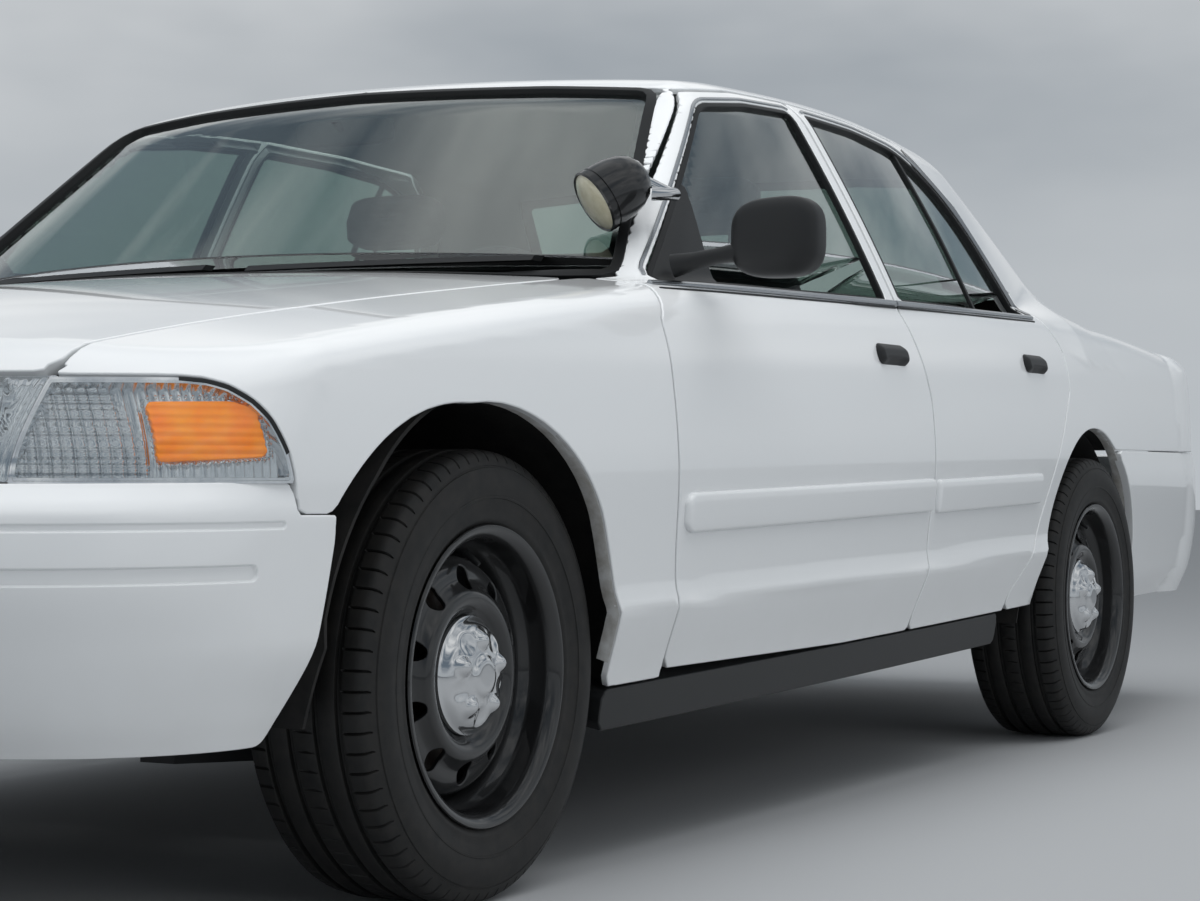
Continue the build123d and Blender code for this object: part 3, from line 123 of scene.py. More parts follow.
def ring(x, y, a, b, c):
    """Distance outside the circle through three points (a, b, c), as plan x and y."""
    (ax, ay), (bx, by), (cx, cy) = a, b, c
    d = 2 * (ax * (by - cy) + bx * (cy - ay) + cx * (ay - by))
    sa, sb, sc = ax * ax + ay * ay, bx * bx + by * by, cx * cx + cy * cy
    ux = (sa * (by - cy) + sb * (cy - ay) + sc * (ay - by)) / d
    uy = (sa * (cx - bx) + sb * (ax - cx) + sc * (bx - ax)) / d
    return np.hypot(x - ux, y - uy) - np.hypot(ax - ux, ay - uy)


def corner_ring(x, y, start, end, nose, sign):
    """Distance outside the arc that turns from the nose or tail face into the side."""
    sagitta = np.abs(nose - start[0])
    face = np.arcsin(start[1] / ((sagitta ** 2 + start[1] ** 2) / (2 * sagitta)))
    heading = np.pi / 2 + sign * face
    chord = np.hypot(end[0] - start[0], end[1] - start[1])
    chord_angle = np.arctan2(end[1] - start[1], end[0] - start[0])
    radius = chord / (2 * np.sin(sign * (chord_angle - heading)))
    centre = start[0] - sign * radius * np.sin(heading), start[1] + sign * radius * np.cos(heading)
    return np.hypot(x - centre[0], y - centre[1]) - radius


def plan_gap(x, y, row):
    """How far a point lies outside a plan outline with these sizes."""
    y = np.abs(y)
    mid, front, rear, nose, nose_side, tail, tail_side = row
    side = ring(x, y, (nose_side - FRONT_CORNER, front), (0 * x, mid), (tail_side + REAR_CORNER, rear))
    gap = side
    for sign, tip, start_x, length, width in ((1, nose, nose_side, FRONT_CORNER, front),
                                              (-1, tail, tail_side, REAR_CORNER, rear)):
        end_x = start_x - sign * length
        corner = corner_ring(x, y, (start_x, NOSE_Y), (end_x, width), tip, sign)
        sagitta = np.abs(tip - start_x)
        radius = (sagitta ** 2 + NOSE_Y ** 2) / (2 * sagitta)
        centre = tip - sign * radius
        face = np.hypot(x - centre, y) - radius
        on_face = y * sign * (start_x - centre) < NOSE_Y * sign * (x - centre)
        gap = np.where(sign * (x - end_x) > 0, np.where(on_face, face, corner), gap)
    return gap


def side_gap(x, y, z):
    """How far a point lies outside the body's sides, nose and tail."""
    return plan_gap(x, y, side_row(z + RISE * x))


def crown(x, y, sections, edge_y):
    """Height of a crowned top that is an arc across the car out to edge_y."""
    centre = smooth(sections[:, 0], sections[:, 1], x)
    edge = smooth(sections[:, 0], sections[:, 2], x)
    drop = centre - edge
    radius = (drop ** 2 + edge_y ** 2) / (2 * drop)
    y = np.abs(y)
    arc = np.sqrt(np.maximum(radius ** 2 - np.minimum(y, edge_y) ** 2, 0)) - radius
    return centre + arc, edge, edge_y / radius


def top_gap(x, y, z):
    """How far a point lies over the hood and deck."""
    height, edge, slope = crown(x, y, TOP_SECTIONS, NOSE_Y)
    outer = smooth(TOP_SECTIONS[:, 0], TOP_SECTIONS[:, 3], x)
    beyond = np.maximum(np.abs(y) - NOSE_Y, 0)
    fall = (edge - outer) / (TOP_EDGE_Y - NOSE_Y)
    return (z - height + fall * beyond) * 0.98


def round_inner(a, b, radius):
    """What lies inside both forms, their meeting edge rounded off."""
    past = np.hypot(np.maximum(a + radius, 0), np.maximum(b + radius, 0))
    return np.minimum(np.maximum(a, b), -radius) + past


def round_joined(a, b, radius):
    """Both forms together, with a hollow fillet where they meet."""
    short = np.hypot(np.maximum(radius - a, 0), np.maximum(radius - b, 0))
    return np.maximum(np.minimum(a, b), radius) - short


def house_gap(x, y, z):
    """How far a point lies outside the greenhouse."""
    z_levels = HOUSE_LEVELS[:, 0]
    t = (z - z_levels[0]) * (z - z_levels[1])
    rows = []
    for column in HOUSE_LEVELS.T[1:]:
        first = (column[1] - column[0]) / (z_levels[1] - z_levels[0])
        second = ((column[2] - column[1]) / (z_levels[2] - z_levels[1]) - first) / (z_levels[2] - z_levels[0])
        rows.append(column[0] + first * (z - z_levels[0]) + second * t)
    front, front_x, front_y, mid, rear_x, rear_y, rear = rows
    y = np.abs(y)
    side = ring(x, y, (front_x, front_y), (0 * x, mid), (rear_x, rear_y)) * 0.88
    windscreen = ring(x, y, (front_x, -front_y), (front, 0 * x), (front_x, front_y)) * 0.64
    rear_screen = ring(x, y, (rear_x, -rear_y), (rear, 0 * x), (rear_x, rear_y)) * 0.60
    height = crown(x, y, ROOF_SECTIONS, ROOF_EDGE_Y)[0]
    roof = z - height + np.maximum(y - ROOF_EDGE_Y, 0) * 0.18
    sides = round_inner(round_inner(side, windscreen, PILLAR_ROLL), rear_screen, PILLAR_ROLL)
    return np.maximum(round_inner(sides, roof, ROOF_ROLL), 990 - z)


def shell_gap(p):
    """How far points (mm) lie outside the whole painted shell."""
    x, y, z = p[..., 0], p[..., 1], p[..., 2]
    lower = round_inner(side_gap(x, y, z), top_gap(x, y, z), SHOULDER)
    fillet = 4 + 86 * np.clip((-950 - x) / 300, 0, 1)
    return round_joined(lower, house_gap(x, y, z), fillet)


def cast(origin, direction, reach=(150.0, 1300.0), gap=shell_gap, offset=0.0):
    """Points where rays from inside the car come out through the shell."""
    near = np.full(direction.shape[:-1], reach[0])
    far = np.full(direction.shape[:-1], reach[1])
    for _ in range(22):
        middle = (near + far) / 2
        out = gap(origin + direction * middle[..., None]) > offset
        far = np.where(out, middle, far)
        near = np.where(out, near, middle)
    return origin + direction * ((near + far) / 2)[..., None]


def even(points, angles, count):
    """Angles that space points evenly along each section."""
    run = np.linalg.norm(np.diff(points, axis=1), axis=-1)
    length = np.concatenate([np.zeros((len(run), 1)), np.cumsum(run, axis=1)], axis=1)
    return np.array([np.interp(np.linspace(0, row[-1], count), row, line)
                     for row, line in zip(length, angles)])


# Steps of the body's grids are given for close work; this coarser share of them keeps
# the whole car under a million triangles.
GRID = 1.38


def cross_sections(x_from, x_to, low, high, step=20.0, pitch=13.0, centre_z=700.0, offset=0.0, gap=shell_gap):
    """Left side of the shell as sections across the car, fanned about the centre line."""
    step, pitch = GRID * step, GRID * pitch
    xs = np.linspace(x_from, x_to, max(3, int(abs(x_to - x_from) / step) + 1))
    angles = np.repeat(np.radians(np.linspace(low, high, 70))[None, :], len(xs), 0)
    origin = np.stack([xs, 0 * xs, 0 * xs + centre_z], -1)[:, None, :]
    for last in (False, True):
        rays = np.stack([0 * angles, np.cos(angles), np.sin(angles)], -1)
        points = cast(origin, rays, gap=gap, offset=offset)
        if not last:
            span = np.linalg.norm(np.diff(points, axis=1), axis=-1).sum(1).max()
            angles = even(points, angles, int(span / pitch) + 2)
    return points


def long_sections(y_from, y_to, centre, low, high, step=20.0, pitch=20.0, reach=(150.0, 1500.0), offset=0.0,
                  gap=shell_gap):
    """The shell as sections along the car, fanned in each upright plane about centre (x, z)."""
    step, pitch = GRID * step, GRID * pitch
    ys = np.linspace(y_from, y_to, max(3, int(abs(y_to - y_from) / step) + 1))
    angles = np.repeat(np.radians(np.linspace(low, high, 70))[None, :], len(ys), 0)
    origin = np.stack([0 * ys + centre[0], ys, 0 * ys + centre[1]], -1)[:, None, :]
    for last in (False, True):
        rays = np.stack([np.cos(angles), 0 * angles, np.sin(angles)], -1)
        points = cast(origin, rays, reach, gap, offset)
        if not last:
            span = np.linalg.norm(np.diff(points, axis=1), axis=-1).sum(1).max()
            angles = even(points, angles, int(span / pitch) + 2)
    return points


def level_sections(centre, low, high, levels, pitch, gap, marks=(), reach=(100.0, 1400.0)):
    """A surface as level sections fanned in plan about centre (x, y). marks adds angles in degrees."""
    def rays_at(angles, count):
        rays = np.stack([np.cos(angles), np.sin(angles), 0 * angles], -1)
        return np.broadcast_to(rays, (count,) + rays.shape)

    levels = np.asarray(levels, float)
    angles = np.radians(np.linspace(low, high, 160))
    origin = np.stack([0 * levels + centre[0], 0 * levels + centre[1], levels], -1)[:, None, :]
    middle = origin[len(levels) // 2][None]
    points = cast(middle, rays_at(angles, 1), reach, gap)[0]
    run = np.concatenate([[0], np.cumsum(np.linalg.norm(np.diff(points, axis=0), axis=1))])
    angles = np.interp(np.linspace(0, run[-1], int(run[-1] / (GRID * pitch)) + 2), run, angles)
    angles = np.unique(np.concatenate([angles, np.radians(np.array(marks, float))]))
    return cast(origin, rays_at(angles, len(levels)), reach, gap)


def shell_normals(points, gap=shell_gap):
    normal = np.empty_like(points)
    for axis in range(3):
        nudge = np.zeros(3)
        nudge[axis] = 0.6
        normal[:, axis] = gap(points + nudge) - gap(points - nudge)
    return normal / np.linalg.norm(normal, axis=1)[:, None]


def numbered(grid):
    """The index of each point in a grid of points."""
    return np.arange(grid.shape[0] * grid.shape[1]).reshape(grid.shape[:2])


def paired(a, b, c, d):
    """Two triangles for each cell with these corners."""
    return np.concatenate([np.stack([a, b, c], -1).reshape(-1, 3), np.stack([a, c, d], -1).reshape(-1, 3)])


def triangulated(grid, flip=False):
    """A grid of points as (points, triangles)."""
    index = numbered(grid)
    triangles = paired(index[:-1, :-1], index[1:, :-1], index[1:, 1:], index[:-1, 1:])
    return grid.reshape(-1, 3), triangles if flip else triangles[:, ::-1]


def outward(part):
    """The same closed mesh with its triangles facing out."""
    points, triangles = part
    a, b, c = (points[triangles[:, i]] - points.mean(0) for i in range(3))
    return points, triangles if (a * np.cross(b, c)).sum() > 0 else triangles[:, ::-1]


def wrapped(grid):
    """A closed form from rows of points that each run round it."""
    a, b = numbered(grid)[:-1], numbered(grid)[1:]
    return outward((grid.reshape(-1, 3), paired(a, b, np.roll(b, -1, 1), np.roll(a, -1, 1))))


def least(*depths):
    """Inside all of several outlines: the smallest depth, point by point."""
    return functools.reduce(np.minimum, depths)


def trimmed(shell, depth):
    """Keeps the part of a mesh where depth(points) is positive, cut exactly along its zero line."""
    points, triangles = shell
    level = depth(points)
    level = np.where(np.abs(level) < 1e-4, 1e-4, level)
    inside = level > 0
    count = inside[triangles].sum(1)
    kept = [triangles[count == 3]]
    new_points, edge_index = [points], {}

    def crossing(i, j):
        key = (min(i, j), max(i, j))
        if key not in edge_index:
            edge_index[key] = len(points) + len(edge_index)
            share = level[key[0]] / (level[key[0]] - level[key[1]])
            new_points.append((points[key[0]] + share * (points[key[1]] - points[key[0]]))[None])
        return edge_index[key]

    extra = []
    for triangle in triangles[(count == 1) | (count == 2)]:
        lone = inside[triangle] if inside[triangle].sum() == 1 else ~inside[triangle]
        k = int(np.argmax(lone))
        a, b, c = triangle[k], triangle[(k + 1) % 3], triangle[(k + 2) % 3]
        ab, ac = crossing(a, b), crossing(a, c)
        if inside[a]:
            extra.append((a, ab, ac))
        else:
            extra.append((ab, b, c))
            extra.append((ab, c, ac))
    kept.append(np.array(extra, int).reshape(-1, 3))
    points, triangles = np.concatenate(new_points), np.concatenate(kept)
    used, triangles = np.unique(triangles, return_inverse=True)
    return points[used], triangles.reshape(-1, 3)


def outline_depth(u, v, outline):
    """Distance inside a closed outline, positive inside."""
    outline = np.array(outline, float)
    best = np.full(u.shape, np.inf)
    inside = np.zeros(u.shape, bool)
    for (ax, ay), (bx, by) in zip(outline, np.roll(outline, -1, axis=0)):
        ex, ey = bx - ax, by - ay
        share = np.clip(((u - ax) * ex + (v - ay) * ey) / (ex * ex + ey * ey), 0, 1)
        best = np.minimum(best, np.hypot(u - ax - share * ex, v - ay - share * ey))
        crosses = (ay > v) != (by > v)
        where = ax + (v - ay) * ex / (ey if abs(ey) > 1e-9 else 1e-9)
        inside ^= crosses & (u < where)
    return np.where(inside, best, -best)


def rounded(outline, radii, step=9.0):
    """A closed outline with its corners turned into curves, one radius for each or one for all."""
    line = np.array(outline, float)
    points = []
    for before, corner, after, radius in zip(np.roll(line, 1, 0), line, np.roll(line, -1, 0),
                                             np.broadcast_to(radii, len(line))):
        a, b = before - corner, after - corner
        long_a, long_b = np.hypot(*a), np.hypot(*b)
        half = math.acos(np.clip(a @ b / (long_a * long_b), -1, 1)) / 2
        reach = min(radius / math.tan(half), long_a * 0.48, long_b * 0.48) if half < 1.56 else 0.0
        for t in np.linspace(0, 1, max(3, int(2 * reach / step) + 1)) if reach > 1 else (0.5,):
            points.append(corner + a / long_a * reach * (1 - t) ** 2 + b / long_b * reach * t ** 2)
    return [tuple(p) for p in points]


def bend(a, b, c, count=12):
    """Points along the arc through three (x, z) points."""
    a, b, c = (np.array(p, float) for p in (a, b, c))
    d = 2 * (a[0] * (b[1] - c[1]) + b[0] * (c[1] - a[1]) + c[0] * (a[1] - b[1]))
    sa, sb, sc = a @ a, b @ b, c @ c
    centre = np.array([(sa * (b[1] - c[1]) + sb * (c[1] - a[1]) + sc * (a[1] - b[1])) / d,
                       (sa * (c[0] - b[0]) + sb * (a[0] - c[0]) + sc * (b[0] - a[0])) / d])
    angles = [math.atan2(*(p - centre)[::-1]) for p in (a, b, c)]
    turn = np.unwrap(angles)
    line = np.interp(np.linspace(0, 1, count), [0, 0.5, 1], turn) if abs(turn[2] - turn[0]) < 6 else turn
    radius = np.linalg.norm(a - centre)
    return [tuple(centre + radius * np.array([math.cos(t), math.sin(t)])) for t in line]


def boundary(triangles):
    """Edges that belong to one triangle only, in that triangle's direction."""
    edges = np.concatenate([triangles[:, [0, 1]], triangles[:, [1, 2]], triangles[:, [2, 0]]])
    low, high = edges.min(1), edges.max(1)
    _, first, count = np.unique(low * (high.max() + 1) + high, return_index=True, return_counts=True)
    return edges[first[count == 1]]


def pressed_panel(shell, thickness=12.0, roll=3.0, flush=None, gap=shell_gap):
    """A sheet panel: its skin, a rolled edge all round, and an inner skin behind it.
    flush marks edge points that meet a neighbour with no roll. Returns points, normals, triangles."""
    points, triangles = shell
    normals = shell_normals(points, gap)
    edges = boundary(triangles)
    rim, edges = np.unique(edges, return_inverse=True)
    edges = edges.reshape(-1, 2)
    base, up = points[rim], normals[rim]
    along = base[edges[:, 1]] - base[edges[:, 0]]
    out = np.zeros_like(base)
    for end in (0, 1):
        np.add.at(out, edges[:, end], np.cross(along, up[edges[:, end]]))
    out -= (out * up).sum(1)[:, None] * up
    out /= np.maximum(np.linalg.norm(out, axis=1), 1e-9)[:, None]
    radius = np.full(len(rim), roll)
    if flush is not None:
        radius = np.where(flush(base), 0.01, roll)
    radius = radius[:, None]
    rings, ring_normals = [], []
    for turn in np.radians((30, 60, 90)):
        rings.append(base + out * radius * math.sin(turn) - up * radius * (1 - math.cos(turn)))
        ring_normals.append(up * math.cos(turn) + out * math.sin(turn))
    rings.append(base + out * radius - up * thickness)
    ring_normals.append(out)
    all_points, all_normals, all_triangles = [points], [normals], [triangles]
    previous = rim
    offset = len(points)
    for ring_points, ring_normal in zip(rings, ring_normals):
        index = offset + np.arange(len(rim))
        a, b = previous[edges[:, 0]], previous[edges[:, 1]]
        c, d = index[edges[:, 1]], index[edges[:, 0]]
        all_triangles += [np.stack([b, a, d], 1), np.stack([b, d, c], 1)]
        all_points.append(ring_points)
        all_normals.append(ring_normal)
        previous = index
        offset += len(rim)
    inner = points - normals * thickness
    inner[rim] = rings[-1]
    all_points.append(inner)
    all_normals.append(-normals)
    all_triangles.append(triangles[:, ::-1] + offset)
    return np.concatenate(all_points), np.concatenate(all_normals), np.concatenate(all_triangles)


def mirrored(part):
    """The same mesh on the other side of the car."""
    flip = np.array([1.0, -1.0, 1.0])
    return tuple(group * flip for group in part[:-1]) + (part[-1][:, ::-1],)


def joined(*parts):
    """Several meshes as one."""
    offsets = np.cumsum([0] + [len(part[0]) for part in parts])
    groups = [np.concatenate([part[i] for part in parts]) for i in range(len(parts[0]) - 1)]
    return tuple(groups) + (np.concatenate([part[-1] + start for part, start in zip(parts, offsets)]),)


def both(part):
    return joined(part, mirrored(part))


def piece(name, part, material, body, slot, *nodes, sharp=40.0):
    """Makes a smooth-shaded object from points in mm and fits it to the car.
    part is points and triangles, with vertex normals between them or none."""
    points, triangles = part[0], part[-1]
    mesh = bpy.data.meshes.new(name)
    mesh.from_pydata((points * 0.001).tolist(), [], triangles.tolist())
    mesh.polygons.foreach_set("use_smooth", [True] * len(mesh.polygons))
    if len(part) == 3:
        mesh.normals_split_custom_set_from_vertices(part[1].tolist())
    else:
        mesh.set_sharp_from_angle(angle=math.radians(sharp))
    mesh.update()
    thing = bpy.data.objects.new(name, mesh)
    bpy.context.scene.collection.objects.link(thing)
    mesh.materials.append(material)
    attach(thing, body)
    if nodes:
        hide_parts(*nodes)
    if "transmission" in material:
        thing.visible_shadow = False
    return thing


def pair(name, part, material, body, slot, *nodes, sharp=40.0):
    """A left piece and its mirror image on the right. SIDE in a name stands for left or right."""
    for side, half in (("left", part), ("right", mirrored(part))):
        named, carrier, *stands_for = (words.replace("SIDE", side) for words in (name, body, *nodes))
        piece(named, half, material, carrier, slot, *stands_for, sharp=sharp)


def linear(code):
    """An sRGB hex colour as linear RGBA."""
    channels = [int(code[i:i + 2], 16) / 255 for i in (1, 3, 5)]
    return tuple(c / 12.92 if c <= 0.04045 else ((c + 0.055) / 1.055) ** 2.4 for c in channels) + (1.0,)


def add(tree, kind, inputs=None, **settings):
    """Adds a node; inputs maps a socket name to a value or to another node's output."""
    node = tree.nodes.new(kind)
    for key, value in settings.items():
        setattr(node, key, value)
    for key, value in (inputs or {}).items():
        if isinstance(value, bpy.types.NodeSocket):
            tree.links.new(value, node.inputs[key])
        else:
            node.inputs[key].default_value = value
    return node


def surface(name, **sockets):
    """A new material and its shader, with constant values set on the shader's own sockets."""
    material = bpy.data.materials.new(name)
    material.use_nodes = True
    shader = material.node_tree.nodes["Principled BSDF"]
    for key, value in sockets.items():
        shader.inputs[key.replace("_", " ")].default_value = value
    if "Transmission_Weight" in sockets:
        material["transmission"] = True
    return material, material.node_tree, shader


def position(tree):
    """The place of a shaded point in metres, which needs no UV map."""
    return add(tree, "ShaderNodeNewGeometry").outputs["Position"]


def blended(tree, share, tone_a, tone_b):
    """Two sRGB hex colours mixed by a share that another node gives."""
    mix = add(tree, "ShaderNodeMix", {"Factor": share, "A": linear(tone_a), "B": linear(tone_b)},
              data_type="RGBA")
    return mix.outputs["Result"]


def relief(tree, shader, height, strength, distance):
    """Bumps on a shader from a height that another node gives."""
    bump = add(tree, "ShaderNodeBump", {"Height": height, "Strength": strength, "Distance": distance})
    tree.links.new(bump.outputs["Normal"], shader.inputs["Normal"])


def mottled(name, tone_a, tone_b, scale, roughness, bump, **sockets):
    """A material whose colour and relief both follow one noise; scale is in waves a metre."""
    material, tree, shader = surface(name, Roughness=roughness, **sockets)
    noise = add(tree, "ShaderNodeTexNoise", {"Vector": position(tree), "Scale": scale, "Detail": 6.0,
                                             "Roughness": 0.6})
    share = add(tree, "ShaderNodeMapRange", {"Value": noise.outputs["Fac"], "From Min": 0.3, "From Max": 0.7})
    tone = blended(tree, share.outputs["Result"], tone_a, tone_b)
    tree.links.new(tone, shader.inputs["Base Color"])
    relief(tree, shader, noise.outputs["Fac"], bump, 0.1 / scale)
    return material


def grained(name, tone, roughness, scale, strength, distance):
    """A moulded plastic with a leather-like grain; scale is in cells a metre."""
    material, tree, shader = surface(name, Base_Color=linear(tone), Roughness=roughness)
    cells = add(tree, "ShaderNodeTexVoronoi", {"Vector": position(tree), "Scale": scale})
    relief(tree, shader, cells.outputs["Distance"], strength, distance)
    return material


# Two-stage enamel: a white base coat under clear lacquer, with a faint orange peel
# about 3 mm across and road dust that settles low on the panels.
white_enamel, tree, shader = surface("white_enamel", Roughness=0.3, Coat_Weight=1.0, Coat_Roughness=0.03,
                                     Coat_IOR=1.5)
place = position(tree)
peel = add(tree, "ShaderNodeTexNoise", {"Vector": place, "Scale": 330.0, "Detail": 1.0})
relief(tree, shader, peel.outputs["Fac"], 0.02, 0.0004)
height = add(tree, "ShaderNodeSeparateXYZ", {"Vector": place})
low = add(tree, "ShaderNodeMapRange", {"Value": height.outputs["Z"], "From Min": 0.62, "From Max": 0.24})
film = add(tree, "ShaderNodeTexNoise", {"Vector": place, "Scale": 9.0, "Detail": 6.0, "Roughness": 0.62})
dust = add(tree, "ShaderNodeMath", {0: low.outputs["Result"], 1: film.outputs["Fac"]}, operation="MULTIPLY")
dust = add(tree, "ShaderNodeMath", {0: dust.outputs[0], 1: 0.16}, operation="MULTIPLY")
tree.links.new(blended(tree, dust.outputs[0], "#e8eaeb", "#a79f92"), shader.inputs["Base Color"])

# Front wings. Deep-drawn steel between bumper, hood and front door, with a rolled lip
# round the wheel opening and a soft shoulder that carries the hood line down to the lamp.
SILL_Z0 = 326.0
SHUT = 5.0
ROLL = 3.0    # radius of a panel's rolled edge, by which each skin stops short of its outline
FAR = 1e3     # a depth that never limits a panel
FRONT_DOOR_EDGE = [(1073, 320), (1080, 470), (1090, 700), (1088, 912), (1028, 985), (478, 1398)]
CENTRE_EDGE = [(-38, 320), (-62, 470), (-82, 640), (-76, 806), (-6, 1003), (-3, 1434)]
REAR_DOOR_EDGE = [(-648, 320), (-664, 380), (-790, 500), (-905, 650), (-1060, 850), (-1068, 950),
                  (-980, 1050), (-862, 1290), (-640, 1418)]
FRONT_ARCH = (bend((2069, 598), (1935, 708), (1716, 757)) + bend((1716, 757), (1500, 722), (1345, 592))[1:]
              + bend((1345, 592), (1290, 460), (1272, 200))[1:] + [(2069, 200)])
HOOD_EDGE_REAR, HOOD_EDGE_FRONT, HOOD_REAR_CENTRE = (1060, 745), (2330, 698), 1235
LAMP_REAR_EDGE = [(2150, 598), (2152, 641), (2165, 682), (2190, 728), (2212, 752), (2240, 771), (2262, 779),
                  (2290, 782), (2800, 783)]
PANEL = 12.0


def over_sill(p, z0=SILL_Z0):
    return p[:, 2] + RISE * p[:, 0] - z0


def grown(outline, distance):
    """A closed outline moved outward by a distance, corner by corner."""
    line = np.array(outline, float)
    area = np.sum(line[:, 0] * np.roll(line[:, 1], -1) - np.roll(line[:, 0], -1) * line[:, 1])
    sign = 1.0 if area > 0 else -1.0
    before, after = line - np.roll(line, 1, 0), np.roll(line, -1, 0) - line
    before /= np.linalg.norm(before, axis=1)[:, None]
    after /= np.linalg.norm(after, axis=1)[:, None]
    normal_a = np.stack([before[:, 1], -before[:, 0]], 1) * sign
    normal_b = np.stack([after[:, 1], -after[:, 0]], 1) * sign
    middle = normal_a + normal_b
    middle /= np.maximum((middle * middle).sum(1), 0.5)[:, None] / 2
    return [tuple(p) for p in line + middle * distance]


def across_arc(edge, centre_x):
    """Points of a shut line that bows across the car, from edge (x, y) by centre_x to the right."""
    line = bend((edge[1], edge[0]), (0.01, centre_x), (-edge[1], edge[0]), 25)
    return [(x, y) for y, x in line]


def side_depth(p, outline):
    """Depth of points inside an outline of (x, z), seen from the side."""
    return outline_depth(p[..., 0], p[..., 2], outline)


def front_depth(p, outline):
    """Depth of points inside an outline of (y, z), seen along the car."""
    return outline_depth(p[..., 1], p[..., 2], outline)


hood_outline = ([(3000, HOOD_EDGE_FRONT[1]), HOOD_EDGE_FRONT] + across_arc(HOOD_EDGE_REAR, HOOD_REAR_CENTRE)
                + [(HOOD_EDGE_FRONT[0], -HOOD_EDGE_FRONT[1]), (3000, -HOOD_EDGE_FRONT[1])])


def hood_depth(p):
    return outline_depth(p[:, 0], p[:, 1], hood_outline)


wing_rear_edge = [(x + SHUT, z) for x, z in FRONT_DOOR_EDGE[:5]] + [(1003, 1012)]
wing_outline = ([(1078, 200)] + wing_rear_edge + [(1003, 1120), (3000, 1120), (3000, 783)]
                + LAMP_REAR_EDGE[::-1][1:] + [(2066, 597), (2066, 200)])


def wing_depth(p):
    cowl = np.where(p[:, 0] < HOOD_REAR_CENTRE + 40, np.abs(p[:, 1]) - HOOD_EDGE_REAR[1] - SHUT / 2, FAR)
    return least(side_depth(p, wing_outline), -side_depth(p, FRONT_ARCH), -hood_depth(p) - SHUT / 2,
                 cowl, over_sill(p)) - ROLL


wing = triangulated(cross_sections(985, 2420, -32, 62, step=16.0, pitch=12.0))
wing = pressed_panel(trimmed(wing, wing_depth), PANEL)
piece("front_wings", both(wing), white_enamel, "body", "white_paint", "front_wings")

# Hood. One crowned outer pressing with a rolled front lip over the lamps.
HOOD_LIP_Z = 786.0


def hood_field(p):
    return np.minimum(hood_depth(p) - SHUT / 2, p[:, 2] - HOOD_LIP_Z) - ROLL


hood = triangulated(long_sections(-752, 752, (1700, 560), 8, 150, 20.0, 20.0), flip=True)
hood = pressed_panel(trimmed(hood, hood_field), 22.0)
piece("hood", hood, white_enamel, "hood_body", "white_paint", "hood")

# Doors. Each is an outer skin hemmed round a pressed frame, with the window frame above
# the belt in one piece with it.
DOOR_TOP = [(250, 1424), (-3, 1434), (-330, 1433)]
WINDOW_FRONT = rounded([(972, 990), (466, 1374), (250, 1400), (32, 1411), (34, 1003)], (16, 150, 400, 12, 10))
WINDOW_REAR = rounded([(-44, 1006), (-44, 1412), (-313, 1410), (-600, 1390), (-812, 1284), (-934, 1024)],
                      (10, 12, 700, 500, 500, 12))
front_door_outline = FRONT_DOOR_EDGE + DOOR_TOP[:2] + CENTRE_EDGE[::-1][1:]
rear_door_outline = [(x - SHUT - 1, z) for x, z in CENTRE_EDGE] + DOOR_TOP[2:] + REAR_DOOR_EDGE[::-1]
# The windscreen's opening, seen along the car
WINDSCREEN = [(-797, 1000), (797, 1000), (638, 1401), (420, 1414), (0, 1424), (-420, 1414), (-638, 1401)]


def windscreen_depth(p):
    return np.minimum(front_depth(p, WINDSCREEN), p[:, 0] - 200)


def door_panel(outline, window, x_from, x_to):
    def depth(p):
        return least(side_depth(p, outline), -side_depth(p, window), over_sill(p),
                     -windscreen_depth(p)) - ROLL

    shell = triangulated(cross_sections(x_from, x_to, -26, 56, step=16.0, pitch=13.0))
    return pressed_panel(trimmed(shell, depth), PANEL)


front_door = door_panel(front_door_outline, WINDOW_FRONT, -100, 1100)
rear_door = door_panel(rear_door_outline, WINDOW_REAR, -1090, -20)
for end, part in (("front", front_door), ("rear", rear_door)):
    pair(f"{end}_door_SIDE", part, white_enamel, f"{end}_door_SIDE_body", "white_paint", f"{end}_door_SIDE")

# Rear quarters, deck surround and tail. Welded pressings that run up into the roof pillar.
REAR_ARCH_CENTRE, REAR_ARCH_RADIUS = (-1262.0, 364.0), 398.0
REAR_BUMPER_SEAM = 711.0
QUARTER_SEAM_Z = 1085.0
LID_EDGE_FRONT, LID_FRONT_CENTRE, LID_EDGE_REAR_Y, LID_BOTTOM_Z = (-1690, 700), -1800, 640, 716
TAIL_LAMP_Z, TAIL_LAMP_Y, TAIL_LAMP_X = (735, 930), 600, -2470
lid_outline = ([(-3000, LID_EDGE_REAR_Y), (-2470, LID_EDGE_REAR_Y), (-2350, LID_EDGE_FRONT[1])]
               + across_arc(LID_EDGE_FRONT, LID_FRONT_CENTRE)
               + [(-2350, -LID_EDGE_FRONT[1]), (-2470, -LID_EDGE_REAR_Y), (-3000, -LID_EDGE_REAR_Y)])


def lid_depth(p):
    return np.minimum(outline_depth(p[:, 0], p[:, 1], lid_outline), p[:, 2] - LID_BOTTOM_Z)


def tail_lamp_depth(p):
    return least(p[:, 2] - TAIL_LAMP_Z[0], TAIL_LAMP_Z[1] - p[:, 2], np.abs(p[:, 1]) - TAIL_LAMP_Y,
                 TAIL_LAMP_X - p[:, 0])


def arch_depth(p):
    return REAR_ARCH_RADIUS - np.hypot(p[:, 0] - REAR_ARCH_CENTRE[0], p[:, 2] - REAR_ARCH_CENTRE[1])


def quarter_seam(p):
    return QUARTER_SEAM_Z - p[:, 2]


quarter_front = [(x - SHUT, z) for x, z in REAR_DOOR_EDGE]


